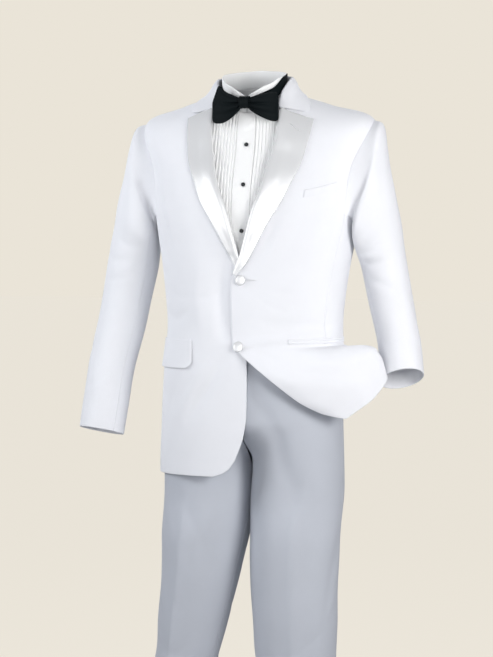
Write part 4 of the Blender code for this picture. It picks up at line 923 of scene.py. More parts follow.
def turned(name, seat, axis, radius, depth, profile, sides, rings, tuck, material):
    """A round closed solid about an axis, with fine tucks over its rim."""
    axis = Vector(axis).normalized()
    first = axis.cross(Vector((0.0, 0.0, 1.0))).normalized()
    second = axis.cross(first)
    turn = np.linspace(0, 2 * math.pi, sides, endpoint=False)
    points = []
    for out, height in resampled(np.array(profile)[:, None, :], np.linspace(0, 1, rings), 0)[:, 0]:
        rim = np.clip(1 - abs(height - 0.35) / 0.45, 0.0, 1.0) * tuck
        wave = 1 + rim * np.cos(BUTTON_TUCKS * turn)
        spoke = np.outer(np.cos(turn) * wave, first) + np.outer(np.sin(turn) * wave, second)
        points.append(np.array(axis) * height * depth + spoke * out * radius)
    points = np.concatenate(points)
    index = np.arange(rings * sides).reshape(rings, sides)
    after = np.roll(index, -1, axis=1)
    quads = np.stack([index[:-1], after[:-1], after[1:], index[1:]], axis=-1).reshape(-1, 4).tolist()
    faces = quads + [index[0][::-1].tolist(), index[-1].tolist()]
    piece = cloth_piece(name, points + seat, faces, points @ np.array((first, second)).T, material)
    stands_for(piece, name.rsplit("_", 1)[0])


for name, level, lift in (("top", TOP_BUTTON, 0.0006), ("lower", LOWER_BUTTON, 0.0016)):
    turned(f"button_{name}_covered", *jacket_skin(1, 0.6, level, lift), BUTTON_RADIUS, BUTTON_DEPTH,
           BUTTON_PROFILE, BUTTON_SIDES, 22, TUCK_RISE, satin)

# Shirt. White cotton with eight narrow tucks on each side of a stitched button band, and a plain back.
# Only its front shows in the opening of the jacket; its armholes are open.
SHIRT_WALL = 0.0012
SHIRT_WHITE = (0.93, 0.935, 0.93)
SHIRT_THREAD = 0.0005
PLEATS = 8
PLEAT_PITCH = 0.0068
PLACKET_WIDTH = 0.036
PLACKET_LIFT = 0.0002
PLACKET_WALL = 0.0010
EDGE_GAP = 0.0045
STITCHED_DIP = 0.00035
STITCHED_WIDTH = 0.0008
SHIRT_LOW = 2.90
NECKLINE = 9.2
# level, ease at the front, ease at the back, ease of the trousers
EASE = np.array((
    (-1, 0.019, 0.0172, 0.0082), (1, 0.019, 0.0172, 0.0082), (2, 0.019, 0.0172, 0.0085),
    (3, 0.019, 0.0172, 0.0138), (3.4, 0.019, 0.0172, 0.0138), (4, 0.0125, 0.012, 0.0138),
    (5, 0.0059, 0.007, 0.0138), (6, 0.0055, 0.0068, 0.0138), (8.4, 0.0056, 0.0072, 0.0138),
    (9.3, 0.0052, 0.0064, 0.0138), (10, 0.003, 0.0034, 0.0138),
))
SHIRT_ARMHOLE = np.array(((4, 90), (4.66, 84), (5.3, 69), (5.95, 67), (6.65, 76), (7.1, 90)))
# One tuck: distance from its sewn line and height in millimetres
TUCK = ((0, -0.85), (0.45, -0.7), (0.95, 0.7), (1.5, 1.5), (2.7, 1.3), (4.5, 0.8), (6.1, 0.1))
SHIRT_FOLDS = (
    (5, 1.1, ((-4, 8.3), (3, 8.5), (9, 8.75))), (6, -1, ((-3, 8.05), (4, 8.2), (10, 8.4))),
    (9, -0.9, ((2, 7.3), (10, 6.6), (14, 5.8))), (8, -0.8, ((-3, 6), (-9, 5.5), (-12, 4.9))),
    (10, 0.9, ((4, 5.9), (8, 5.3), (6, 4.7))),
)
cotton = cloth_finish("white_cotton", SHIRT_WHITE, SHIRT_THREAD, rough=0.78, mottle=0.012, sheen=0.08)
pleat_end = PLACKET_WIDTH / 2 + 0.0016 + PLEAT_PITCH * PLEATS
SHIRT_FOLD_LINES = fold_lines(SHIRT_FOLDS, ring_points)


def neck_squeeze(level):
    """How much narrower the tucks and button band run where the neckline is narrow."""
    return np.minimum(1.0, 0.93 * smooth_rows(RINGS, level)[..., 3] / pleat_end)


def shirt_ease(angle, level):
    """How far in from the jacket's outside the shirt lies."""
    front = np.interp(level, EASE[:, 0], EASE[:, 1])
    back = np.interp(level, EASE[:, 0], EASE[:, 2])
    return front + (back - front) * fade(np.abs(angle), 84.0, 96.0)


def shirt_skin(angle, level, lift=0.0, ease_angle=None):
    """The shirt's outside and its outward direction, moved out by a lift."""
    angle, level = np.broadcast_arrays(np.asarray(angle, dtype=float), np.asarray(level, dtype=float))
    points = ring_points(angle, level)
    normal = normals_of(ring_points, angle, level)
    ease = shirt_ease(angle if ease_angle is None else np.full(angle.shape, ease_angle), level)
    height = fold_height(points, SHIRT_FOLD_LINES) * fade(level, 3.6, 4.4)
    return points + (height + lift - ease)[..., None] * normal, normal


levels = even_levels(ring_points, 20.0, SHIRT_LOW, NECKLINE, 130)
tuck_x = [SEAM / 2, 0.006, 0.012]
for pleat in range(PLEATS):
    tuck_x += [PLACKET_WIDTH / 2 + 0.0009 + PLEAT_PITCH * pleat + out / 1000 for out, _ in TUCK]
tuck_rise = [0.0] * 3 + [height / 1000 for _, height in TUCK] * PLEATS + [0.0] * 24
up = levels[:, None]
squeeze = neck_squeeze(levels)[:, None]
tucks = angle_at(np.array(tuck_x) * squeeze, up)
plain_start = angle_at(pleat_end * squeeze, up)
plain_end = np.interp(up, SHIRT_ARMHOLE[:, 0], SHIRT_ARMHOLE[:, 1]) - 0.2
across = np.concatenate([tucks, plain_start + (plain_end - plain_start) * np.linspace(0, 1, 24)], axis=1)
rise = np.array(tuck_rise) * (1 - 0.25 * fade(up, 8.6, 9.2))
for side_name, side in SIDES:
    outer, normal = shirt_skin(side * across, up, rise)
    inner = outer - (SHIRT_WALL + rise)[..., None] * normal
    piece = shell(f"shirt_front_{side_name}_cotton", outer, inner, lattice_uv(outer), cotton,
                  (True, False, False, True))
    belongs(piece, f"shirt_front_{side_name}")

levels = even_levels(ring_points, 180.0, SHIRT_LOW, NECKLINE, 90)
reach = np.interp(levels, SHIRT_ARMHOLE[:, 0], SHIRT_ARMHOLE[:, 1])
across = 180.0 + np.outer(0.2 - reach, 1 - 2 * spread(70, 0.4))
outer, normal = shirt_skin(across, levels[:, None], 0.0, 180.0)
piece = shell("shirt_back_cotton", outer, outer - SHIRT_WALL * normal, lattice_uv(outer), cotton,
              (True, False, True, True))
belongs(piece, "shirt_back")

levels = even_levels(ring_points, 0.0, 4.0, NECKLINE, 120)
half_angle = angle_at(PLACKET_WIDTH / 2 * neck_squeeze(levels), levels)
shares = spread(26, PLACKET_WIDTH)
across = half_angle[:, None] * (2 * shares - 1)
from_edge = np.minimum(shares, 1 - shares) * PLACKET_WIDTH
stitched = -STITCHED_DIP * np.exp(-((from_edge - EDGE_GAP) / STITCHED_WIDTH) ** 2)
low, normal = shirt_skin(across, levels[:, None], PLACKET_LIFT, 0.0)
top = low + (PLACKET_WALL + stitched)[:, None] * normal
piece = shell("shirt_placket_cotton", top, low, lattice_uv(top), cotton, (True, False, True, True))
belongs(piece, "shirt_placket")

# Studs. Three round black studs close the button band: a polished dome in a narrow turned rim.
STUD_RADIUS = 0.0042
STUD_DEPTH = 0.0034
STUD_LEVELS = (7.36, 5.95, 4.66)
STUD_PROFILE = (
    (0.02, 0.0), (0.8, 0.0), (0.97, 0.18), (1.0, 0.4), (0.94, 0.55), (0.84, 0.56), (0.8, 0.5), (0.76, 0.56),
    (0.62, 0.8), (0.36, 0.96), (0.01, 1.0),
)
STUD_TONES = ((0.006, 0.008, 0.009), (0.016, 0.019, 0.021))


def two_tone(name, inputs, pattern, tones, gloss, **settings):
    """A finish whose colour and gloss follow one small pattern on the piece's place."""
    material, tree, shader = new_finish(name, inputs)
    place = output_of(tree, "ShaderNodeTexCoord", {}, "Object")
    share = output_of(tree, pattern[0], {"Vector": place, "Scale": pattern[1]}, "Fac", **settings)
    rough = output_of(tree, "ShaderNodeMapRange", {"Value": share, "To Min": gloss[0], "To Max": gloss[1]})
    feed(shader, {"Base Color": blend(tree, share, *tones), "Roughness": rough})
    return material


stud_black = two_tone("polished_black", {"Coat Weight": 0.6, "Coat Roughness": 0.08},
                      ("ShaderNodeTexNoise", 700.0), STUD_TONES, (0.16, 0.30))
for number, level in enumerate(STUD_LEVELS, 1):
    seat = shirt_skin(0.3, level, PLACKET_LIFT + PLACKET_WALL + SEAM, 0.0)
    turned(f"stud_{number}_polished", *seat, STUD_RADIUS, STUD_DEPTH, STUD_PROFILE, 40, 24, 0.0, stud_black)

# Wing collar. A stiff cotton band stands on the shirt's neckline and rises to the back. At the front its
# top edge is pressed out into two wings that meet in a V.
COLLAR_COTTON_WALL = 0.0012
COLLAR_SEAM_LIFT = 0.0011
NECK_ANGLES = (1.2, 8, 15, 22, 30, 38, 46, 54, 62, 72, 82, 92, 104, 120, 140, 160, 180)
NECK_TOP_WIDTH = 0.0640
NECK_TOP_FRONT = -0.0672
NECK_TOP_BACK = 0.0400
NECK_TOP_MIDDLE = -0.0120
# angle, top_z, fold, drop
WING = np.array((
    (0, -0.0055, 1, 0.004), (8, 0.0005, 1, 0.012), (15, 0.0051, 1, 0.014),
    (30, 0.0155, 1, 0.011), (45, 0.0243, 0.5, 0.004), (60, 0.0315, 0, 0), (74, 0.036, 0, 0),
    (90, 0.0415, 0, 0), (106, 0.045, 0, 0), (135, 0.05, 0, 0), (180, 0.054, 0, 0),
))
# plain_up, below_top, spread, drop_share
WING_FOLD = (
    (0.84, 0.0014, 0.0, 0.0), (0.9, 0.0, 0.0011, 0.0), (0.95, 0.0014, 0.0022, 0.0),
    (1.0, 0.0014, 0.0024, 1.0),
)
neck_angles = np.array(NECK_ANGLES)
_, wing_top, fold_out, drop = [np.interp(neck_angles, WING[:, 0], column) for column in WING.T]


def neck_line(height, spread_out):
    """Points at a height on the straight lines up the shirt collar, moved out."""
    out = outwards(neck_angles)
    level = np.full(len(neck_angles), NECKLINE)
    ease = (shirt_ease(neck_angles, level) + SHIRT_WALL / 2)[:, None]
    foot = ring_points(neck_angles, level) - ease * normals_of(ring_points, neck_angles, level)
    foot[:, 2] += COLLAR_SEAM_LIFT
    end_y = np.where(out[:, 1] < 0, NECK_TOP_FRONT, NECK_TOP_BACK)
    head_y = NECK_TOP_MIDDLE + np.abs(out[:, 1]) * (end_y - NECK_TOP_MIDDLE)
    head = np.stack((NECK_TOP_WIDTH * out[:, 0], head_y, wing_top), axis=-1)
    height = height(foot[:, 2]) if callable(height) else height
    share = ((height - foot[:, 2]) / (wing_top - foot[:, 2]))[:, None]
    return foot * (1 - share) + head * share + out * np.asarray(spread_out)[..., None]


def plain_line(up):
    """Points at a share of the way up the shirt collar."""
    return neck_line(lambda low: low + (wing_top - low) * up, 0.0)


lines = [plain_line(0.0), plain_line(0.42)]
for plain_up, below_top, spread_out, drop_share in WING_FOLD:
    folded = neck_line(wing_top - below_top - drop * drop_share, spread_out)
    lines.append(plain_line(plain_up) * (1 - fold_out)[:, None] + folded * fold_out[:, None])
half_band = np.stack(lines, axis=1)
band = np.concatenate([half_band, half_band[:-1][::-1] * MIRROR])
band = resampled(resampled(band, spread(200, 0.42), 0), spread(34, 0.05), 1)
piece = both_faces("shirt_collar_cotton", band, COLLAR_COTTON_WALL, cotton, (True, True, False, True))
belongs(piece, "shirt_collar")

# Bow tie. One strip of black corded silk: a neckband round the collar, two wings that are loops of the
# strip with soft folds running out of the middle, and a knot wrapped round them.
BAND_WALL = 0.0014
BAND_WIDTH = 0.013
BOW_WALL = 0.0010
TIE_BLACK = (0.0035, 0.006, 0.007)
TIE_THREAD = 0.0011
BOW_CENTRE = np.array((0.0, -0.0808, -0.0155))
# angle, middle_z, spread
NECKBAND = np.array((
    (0, -0.015, 0.0046), (30, -0.0095, 0.0046), (45, -0.0025, 0.0042), (60, 0.0085, 0.0024),
    (74, 0.0195, 0.0019), (90, 0.029, 0.0019), (106, 0.0345, 0.0019), (135, 0.0385, 0.0019),
    (180, 0.041, 0.0019),
))
# Extra width upwards on the wearer's left, where the band is drawn up: angle, rise
BAND_RISE = np.array(((0, 0), (15, 0.003), (30, 0.0075), (50, 0.008), (70, 0.0105), (95, 0.006), (130, 0)))
# In millimetres: x, top, bottom, half_thickness, back_y, groove
BOW = np.array((
    (-68.5, 0, -29, 2, 8.5, 0), (-66.5, 5, -36.5, 3, 8.2, 0.2), (-61, 18, -39.5, 4, 7, 0.4),
    (-55.5, 31, -40, 4.4, 6, 0.5), (-50, 31, -39.8, 4.6, 4.8, 0.7), (-44, 24, -38.5, 4.8, 3.5, 1),
    (-34, 18, -33.5, 4.8, 2, 1.4), (-24, 13.8, -26.5, 4.6, 0.8, 1.7), (-13, 9, -17, 4.2, 0, 1.8),
    (-6, 8, -9.2, 4, 0, 1.2), (6, 8, -9, 4, 0, 1.2), (13, 8.8, -16, 4.2, 0, 1.8),
    (26, 12.8, -24.5, 4.8, 1, 1.6), (40, 16, -31.5, 5, 3, 1.1), (52, 18, -36, 4.6, 5.2, 0.7),
    (60, 17.8, -36.8, 4, 7.2, 0.4), (64.5, 15, -35, 3, 8.5, 0.2), (66.2, 8, -29, 2, 9, 0),
))
# share_down, ridge
BOW_FOLDS = (
    (0, 0), (0.14, 0.8), (0.32, 1), (0.42, -1), (0.52, 1), (0.66, 1), (0.76, -1), (0.88, 0.8), (1, 0),
)
silk = cloth_finish("black_silk", TIE_BLACK, TIE_THREAD, rough=0.50, mottle=0.25, twill=True,
                    weave=0.5, gleam=0.12)
middle_z, spread_out = [np.interp(neck_angles, NECKBAND[:, 0], column) for column in NECKBAND.T[1:]]
rise = np.interp(neck_angles, *BAND_RISE.T)
lines = []
for up in (0.0, 0.25, 0.5, 0.75, 1.0):
    left = neck_line(middle_z + BAND_WIDTH * (up - 0.5) + rise * up, spread_out)
    right = neck_line(middle_z + BAND_WIDTH * (up - 0.5), spread_out)
    lines.append(np.concatenate([left, right[:-1][::-1] * MIRROR]))
band = resampled(resampled(np.stack(lines), np.linspace(0, 1, 180), 1), spread(12, BAND_WIDTH), 0)
piece = both_faces("bow_band_silk", band, BAND_WALL, silk, ALL_FREE, wrap=True)
belongs(piece, "bow_band")

rows = smooth_rows(BOW, np.linspace(0, len(BOW) - 1, 90)) / 1000
down = spread(46, 0.05)
ridges = smooth_between(BOW_FOLDS, down)
fine_ridges = np.sin(down * 2 * math.pi * 7.0) * 0.25
x, top, bottom, half_thickness, back_y, groove = [column[:, None] for column in rows.T]
z = top + (bottom - top) * down
bulge = half_thickness * np.sin(math.pi * np.clip(down, 0.10, 0.90)) ** 0.5
from_end = np.minimum(x - BOW[0, 0] / 1000, BOW[-1, 0] / 1000 - x)
bulge = bulge * np.sqrt(np.clip(from_end / 0.004, 0.0, 1.0)) + 0.0006
pinch = np.clip(1.3 - np.abs(x) / 0.045, 0.15, 1.0)
front_y = back_y - bulge - groove * (ridges + fine_ridges * pinch)
front, back = [np.stack(np.broadcast_arrays(x, y, z), axis=-1) for y in (front_y, back_y + bulge)]
loop = np.concatenate([front, back[::-1]]).transpose(1, 0, 2)[::-1] + BOW_CENTRE
inner = loop - BOW_WALL * lattice_normals(loop, wrap=True)
piece = shell("bow_silk", loop, inner, lattice_uv(loop), silk, ALL_FREE, wrap=True)
belongs(piece, "bow")

KNOT_WIDTH = 0.019
KNOT_WALL = 0.0014
KNOT_HALF_DEPTH = 0.0070
KNOT_HALF_HEIGHT = 0.0094
KNOT_FLARE = 0.0021
turn, share = np.meshgrid(np.linspace(0, 2 * math.pi, 64, endpoint=False), spread(30, KNOT_WIDTH) - 0.5)
flare = KNOT_FLARE * (2 * np.abs(share)) ** 2
swell = 0.0012 * np.cos(math.pi * share) + 0.0003 * np.cos(6 * math.pi * share)
out = np.stack((0 * turn, np.cos(turn), np.sin(turn)), axis=-1)
size = np.stack((0 * share, KNOT_HALF_DEPTH + 0.3 * flare, KNOT_HALF_HEIGHT + flare), axis=-1)
inner = out * size + share[..., None] * KNOT_WIDTH * np.array((1.0, 0.0, 0.0)) + BOW_CENTRE
outer = inner + out * (KNOT_WALL + swell)[..., None]
piece = shell("bow_knot_silk", outer, inner, lattice_uv(outer), silk, ALL_FREE, wrap=True)
belongs(piece, "bow_knot")

# Trousers. Flat-fronted trousers in the jacket's wool, two fronts and two backs with a pressed crease down
# each leg, hung from a waistband that the jacket covers. Their wool is painted greyer and bluer than the
# jacket's: painted shade for the light that falls off down the legs.
TROUSER_WALL = 0.0018
# The trousers' colour is the white wool painted darker and bluer: painted shade for the light that falls off
# down the legs.
TROUSER_SHADED_WHITE = (0.52, 0.545, 0.6)
CROTCH = -0.740
RISE_CURVE = -0.635
THIGH = -0.880
HIP = -0.762
HEM = -1.490
WAIST = -0.4406
WAISTBAND_LOW = -0.440
WAISTBAND_WIDTH = 0.040
CREASE_RISE = 0.0052
TOE_OUT = {1: 11.0, -1: 14.0}
# In millimetres: height, middle_x, middle_y, half_width, half_depth
LEGS = {
    1: np.array((
        (-1490, 112, -45, 64, 92), (-1300, 105, -48, 71, 86), (-1116, 97, -50, 78.5, 82),
        (-1030, 93.5, -47, 84, 86), (-930, 90.5, -40, 88, 92), (-850, 90.5, -32, 89.5, 98),
        (-740, 90.5, -20, 89.5, 100), (-600, 90.5, -20, 89.5, 100),
    )),
    -1: np.array((
        (-1490, 185, -45, 58, 88), (-1300, 158, -48, 58, 82), (-1116, 129, -50, 59, 76),
        (-1030, 115, -47, 68, 82), (-930, 100, -40, 79, 90), (-850, 93, -32, 87, 98),
        (-740, 90.5, -20, 89.5, 100), (-600, 90.5, -20, 89.5, 100),
    )),
}
# Soft folds as before, along a share of the panel from the inseam to the outer seam, and a height
TROUSER_FOLDS = {
    (1, "front"): (
        (17, -4.6, ((0, -0.49), (0.08, -0.585), (0.27, -0.665), (0.43, -0.765), (0.45, -0.82))),
        (24, 3, ((0.3, -0.57), (0.46, -0.68), (0.6, -0.78), (0.62, -0.86))),
        (14, -2.2, ((0.02, -0.7), (0.14, -0.78), (0.27, -0.88))),
        (13, -2.8, ((0.95, -0.85), (0.84, -0.95), (0.76, -1.04))),
        (9, -2.4, ((0.9, -1), (0.72, -1.05), (0.54, -1.085))),
        (12, 1.6, ((0.9, -0.93), (0.8, -1.02), (0.66, -1.07))),
        (12, -1.6, ((0.2, -1.08), (0.36, -1.12), (0.52, -1.2))),
        (12, -1.6, ((0.25, -1.4), (0.5, -1.42), (0.75, -1.39))),
    ),
    (-1, "front"): (
        (16, -3, ((0.03, -0.64), (0.18, -0.72), (0.34, -0.81))),
        (15, -2, ((0.55, -0.78), (0.38, -0.86), (0.2, -0.95))),
        (13, -1.8, ((0.8, -0.88), (0.62, -0.96), (0.42, -1.03))),
        (14, 1.6, ((0.7, -0.8), (0.52, -0.9), (0.34, -0.98))),
        (10, -1.8, ((0.22, -1.05), (0.42, -1.1), (0.66, -1.08))),
        (12, -1.5, ((0.3, -1.41), (0.5, -1.43), (0.72, -1.41))),
    ),
    (1, "back"): (
        (14, -3, ((0.05, -0.79), (0.4, -0.83), (0.78, -0.78))),
        (11, -1.8, ((0.12, -0.88), (0.45, -0.9), (0.72, -0.86))),
        (10, -2.4, ((0.15, -0.99), (0.5, -1.03), (0.85, -1))),
        (9, -2, ((0.22, -1.07), (0.55, -1.09), (0.82, -1.05))),
        (11, -1.4, ((0.3, -1.16), (0.6, -1.19), (0.8, -1.15))),
    ),
    (-1, "back"): (
        (14, -2.8, ((0.08, -0.8), (0.42, -0.84), (0.8, -0.8))),
        (11, -2, ((0.15, -0.9), (0.4, -0.92), (0.75, -0.89))),
        (10, -2.2, ((0.12, -1.01), (0.5, -1.04), (0.8, -1.01))),
        (9, -1.6, ((0.28, -1.1), (0.58, -1.12), (0.84, -1.08))),
    ),
}
# The trousers' finish is the jacket's weave in that darker colour, so it carries the painted shade.
shaded_trouser_wool = cloth_finish("shaded_trouser_wool", TROUSER_SHADED_WHITE, WOOL_THREAD, rough=0.84, mottle=0.02, sheen=0.15)


def trouser_ring(angle, height):
    """The trousers' outside above the crotch, inside the jacket, on the wearer's left."""
    level = np.interp(np.maximum(height, RINGS[0, 0]), RINGS[:6, 0], range(6))
    level = np.maximum(level, 0.03)
    ease = np.interp(level, EASE[:, 0], EASE[:, 3])
    points = ring_points(angle, level) - ease[..., None] * normals_of(ring_points, angle, level)
    points[..., 2] = height
    return points


def leg_points(side, turn, height):
    """The outside of one leg, as on the wearer's left: turn 0 is the outer seam and 90 the crease."""
    rows = LEGS[side] / 1000
    place = np.interp(height, rows[:, 0], range(len(rows)))
    _, middle_x, middle_y, half_width, half_depth = np.moveaxis(smooth_rows(rows, place), -1, 0)
    toe = math.radians(TOE_OUT[side]) * (1 - fade(height, -0.90, -0.74))
    across = half_width * np.cos(np.radians(turn))
    forward = half_depth * np.sin(np.radians(turn))
    x = middle_x + across * np.cos(toe) + forward * np.sin(toe)
    y = middle_y + across * np.sin(toe) - forward * np.cos(toe)
    return np.stack((x, y, height + 0 * x), axis=-1)


def trouser_surface(side, front):
    """One trouser panel: across runs from 0 at the centre or inseam to 1 at the outer seam."""

    def surface(across, height):
        across = np.clip(across, 0.0, 1.0)
        turn = 180.0 - 180.0 * across if front else 180.0 + 180.0 * across
        angle = 90.0 * across if front else 180.0 - 90.0 * across
        inner_share = 1 - fade(height, CROTCH, RISE_CURVE)
        outer_share = 1 - fade(height, THIGH, HIP)
        share = (inner_share + (outer_share - inner_share) * fade(across, 0.0, 0.7))[..., None]
        leg = leg_points(side, turn, height)
        points = trouser_ring(angle, height) * (1 - share) + leg * share
        pressed = (0.6 * np.exp(-((across - 0.5) / 0.055) ** 2) + 0.4 * np.exp(-np.abs(across - 0.5) / 0.012))
        pressed = pressed * (1 - fade(height, -0.86, -0.77))
        outside = leg - leg_points(side, turn + 180.0, height)
        outside[..., 2] = 0.0
        return (points + CREASE_RISE * pressed[..., None] * unit(outside)) * np.array((side, 1.0, 1.0))

    return surface


for side_name, side in SIDES:
    surfaces = {name: trouser_surface(side, name == "front") for name in ("front", "back")}
    lines = []
    for name, surface in surfaces.items():
        lines += fold_lines(TROUSER_FOLDS[(side, name)], surface)
    for name, surface in surfaces.items():
        levels = even_levels(surface, 0.5, HEM, WAIST, 230)
        across, up, uv = panel_lattice(surface, levels, lambda level: (0 * level, 0 * level + 1), 50)
        points = surface(across, up)
        normal = normals_of(surface, np.clip(across, 0.02, 0.98), up, 0.02, 0.006, -2.0, 1.0)
        normal = normal * side * (1.0 if name == "front" else -1.0)
        height = (fold_height(points, lines) + soft_height(points)) * (1 - fade(up, -0.50, -0.46))
        outer = points + height[..., None] * normal
        inner = outer - TROUSER_WALL * normal
        above = (up > CROTCH + 0.02) & (np.abs(outer[..., 0]) < 0.004)
        for grid in (outer, inner):
            grid[..., 0] = np.where(above, side * np.maximum(side * grid[..., 0], SEAM / 2), grid[..., 0])
        free = (True, False, False, False)
        outer = sink_seams(outer, normal, free)
        piece = shell(f"trouser_{name}_{side_name}_cloth", outer, inner, uv, shaded_trouser_wool, free)
        belongs(piece, f"trouser_{name}_{side_name}")

across, up = np.meshgrid(0.4 + 359.2 * spread(150, 1.0), WAISTBAND_LOW + WAISTBAND_WIDTH * spread(16, 0.04))
outer = trouser_ring(across, up)
level = np.interp(up, RINGS[:6, 0], range(6))
inner = outer - TROUSER_WALL * normals_of(ring_points, across, level)
piece = shell("waistband_cloth", outer, inner, lattice_uv(outer), shaded_trouser_wool, (False, True, True, True))
belongs(piece, "waistband")

# Sewing. White thread in rows of small lockstitches beside the edges of the button band and pocket flap,
# and close purl stitches round the buttonholes of the left front, its lapel and the button band.
THREAD_RADIUS = 0.00024
# pitch, length
LOCKSTITCH = (0.0027, 0.0021)
PURL_STITCH = (0.00062, 0.0015)
# The lapel buttonhole's two ends: section of the lapel, share of its width
LAPEL_HOLE = ((7.43, 0.59), (6.97, 0.8))
THREAD_TONES = ((0.7, 0.71, 0.73), (0.86, 0.865, 0.875))
thread = two_tone("white_thread", {"Sheen Weight": 0.2}, ("ShaderNodeTexWave", 900.0), THREAD_TONES,
                  (0.42, 0.60), bands_direction="DIAGONAL")


def stitch_tree():
    """A node tree that lays stitches at even distances along the lines of a mesh. Each points the way that
    the line's own attribute "heading" says, with a little unevenness."""
    tree = bpy.data.node_groups.new("stitches", "GeometryNodeTree")
    sockets = {"Geometry": "Geometry", "Pitch": "Float", "Length": "Float", "Radius": "Float", "Seed": "Int",
               "Thread": "Material"}
    for name, kind in sockets.items():
        tree.interface.new_socket(name, in_out="INPUT", socket_type=f"NodeSocket{kind}")
    tree.interface.new_socket("Geometry", in_out="OUTPUT", socket_type="NodeSocketGeometry")
    given = tree.nodes.new("NodeGroupInput").outputs
    curve = output_of(tree, "GeometryNodeMeshToCurve", {"Mesh": given["Geometry"]})
    even = output_of(tree, "GeometryNodeResampleCurve", {"Curve": curve, "Length": given["Pitch"]},
                     mode="LENGTH")
    grain = output_of(tree, "GeometryNodeMeshIcoSphere", {"Radius": 1.0, "Subdivisions": 1})
    smooth = output_of(tree, "GeometryNodeSetShadeSmooth", {"Geometry": grain})
    half_length = output_of(tree, "ShaderNodeMath", {0: given["Length"], 1: 0.5}, operation="MULTIPLY")
    size = output_of(tree, "ShaderNodeCombineXYZ", {
        "X": half_length, "Y": given["Radius"], "Z": given["Radius"]})
    heading = output_of(tree, "GeometryNodeInputNamedAttribute", {"Name": "heading"}, "Attribute",
                        data_type="FLOAT_VECTOR")
    uneven = output_of(tree, "FunctionNodeRandomValue", {
        0: (-0.06, -0.06, -0.06), 1: (0.06, 0.06, 0.06), "Seed": given["Seed"]}, data_type="FLOAT_VECTOR")
    pointing = output_of(tree, "ShaderNodeVectorMath", {0: heading, 1: uneven})
    turn = output_of(tree, "FunctionNodeAlignRotationToVector", {"Vector": pointing}, axis="X")
    place = output_of(tree, "GeometryNodeInstanceOnPoints", {
        "Points": even, "Instance": smooth, "Rotation": turn, "Scale": size})
    real = output_of(tree, "GeometryNodeRealizeInstances", {"Geometry": place})
    paint = output_of(tree, "GeometryNodeSetMaterial", {"Geometry": real, "Material": given["Thread"]})
    feed(tree.nodes.new("NodeGroupOutput"), {"Geometry": paint})
    return tree


STITCH_TREE = stitch_tree()


def sewn(name, lines, stitch, seed, headings=None):
    """Stitches along lines of points, as a plain mesh. They point along the line,
    or the way given for each line."""
    headings = [np.gradient(line, axis=0) for line in lines] if headings is None else headings
    headings = unit(np.concatenate(headings))
    ends = np.cumsum([len(line) for line in lines])
    edges = [(step, step + 1) for step in range(ends[-1]) if step + 1 not in ends]
    mesh = bpy.data.meshes.new(f"{name}_line")
    mesh.from_pydata(np.concatenate(lines).tolist(), edges, [])
    mesh.attributes.new("heading", "FLOAT_VECTOR", "POINT").data.foreach_set("vector", headings.ravel())
    piece = bpy.data.objects.new(name, mesh)
    bpy.context.scene.collection.objects.link(piece)
    modifier = piece.modifiers.new("stitches", "NODES")
    modifier.node_group = STITCH_TREE
    pitch, length = stitch
    values = {"Pitch": pitch, "Length": length, "Radius": THREAD_RADIUS, "Seed": seed, "Thread": thread}
    for item in STITCH_TREE.interface.items_tree:
        if item.in_out == "INPUT" and item.name in values:
            modifier[item.identifier] = values[item.name]
    piece.update_tag()
    graph = bpy.context.evaluated_depsgraph_get()
    graph.update()
    plain = bpy.data.meshes.new_from_object(piece.evaluated_get(graph))
    piece.modifiers.clear()
    piece.data = plain
    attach(piece, "root")


def hole_lines(middle, towards, outward, half_length):
    """The two sides and round ends of a buttonhole, and the way its stitches point."""
    ahead = unit(towards - middle)
    aside = np.cross(ahead, outward)
    turn = np.linspace(0, 2 * math.pi, 49)
    run = np.clip(1.6 * np.cos(turn), -1.0, 1.0) * half_length
    out = np.sin(turn) * PURL_STITCH[1] * 0.5
    line = middle + run[:, None] * ahead + out[:, None] * aside
    end = np.where(np.abs(run) < half_length, 0.0, 0.8 * np.cos(turn))
    return line, np.sin(turn)[:, None] * aside + end[:, None] * ahead


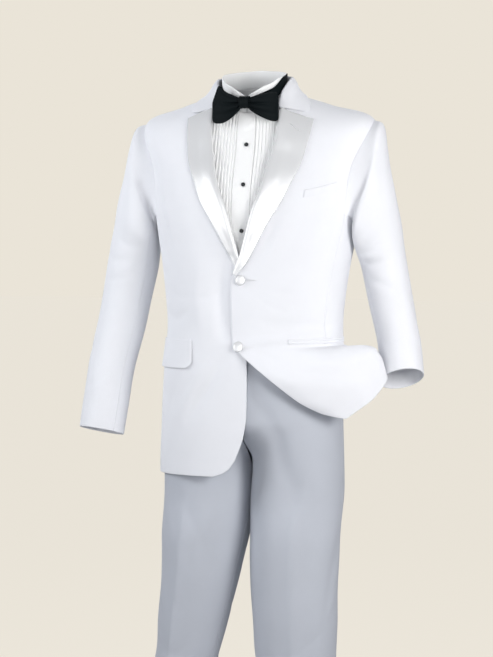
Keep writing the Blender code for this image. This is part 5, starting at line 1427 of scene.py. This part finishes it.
levels = np.linspace(4.02, 9.1, 160)
inset = 1 - 2 * EDGE_GAP / PLACKET_WIDTH
half_angle = angle_at(PLACKET_WIDTH / 2 * neck_squeeze(levels), levels)
band_rows = [shirt_skin(sign * half_angle * inset, levels, 0.00095, 0.0)[0] for sign in (-1, 1)]
sewn("placket_stitches", band_rows, LOCKSTITCH, 3)

flap_down = np.concatenate((np.linspace(0.03, 0.93, 30), np.full(60, 0.93), np.linspace(0.93, 0.03, 30)))
flap_across = np.concatenate((np.full(30, 0.022), np.linspace(0.022, 0.978, 60), np.full(30, 0.978)))
across, up, under = flap_places(flap_down, flap_across)
flap_row = jacket_skin(-1, -across, up, under + FLAP_WALL + 0.00005)[0]
sewn("flap_stitches", [flap_row], LOCKSTITCH, 5)

holes = []
for level in STUD_LEVELS:
    middle, outward = shirt_skin(0.3, level, 0.00125, 0.0)
    holes.append(hole_lines(middle, shirt_skin(0.3, level + 0.05, 0.00125, 0.0)[0], outward, 0.0075))
stud_lines, stud_headings = zip(*holes)
sewn("stud_hole_stitches", stud_lines, PURL_STITCH, 7, stud_headings)

holes = []
for level in (TOP_BUTTON, LOWER_BUTTON):
    middle, outward = jacket_skin(1, 5.2, level, 0.0003)
    holes.append(hole_lines(middle, jacket_skin(1, 6.2, level, 0.0003)[0], outward, 0.0095))
front_lines, front_headings = zip(*holes)
sewn("front_hole_stitches", front_lines, PURL_STITCH, 11, front_headings)

(start_step, start_share), (end_step, end_share) = LAPEL_HOLE
hole_start, hole_end, beside = [
    resampled(lapel_points(1, np.array([step])), [share], 1)[0, 0]
    for step, share in ((start_step, start_share), (end_step, end_share), (start_step, end_share))
]
outward = unit(np.cross(hole_end - hole_start, beside - hole_start))
outward = outward * -np.sign(outward[1])
raised = outward * (LAPEL_WALL / 2 + 0.0002)
line, heading = hole_lines((hole_start + hole_end) / 2 + raised, hole_end + raised, outward,
                           np.linalg.norm(hole_end - hole_start) / 2)
sewn("lapel_hole_stitches", [line], PURL_STITCH, 13, [heading])
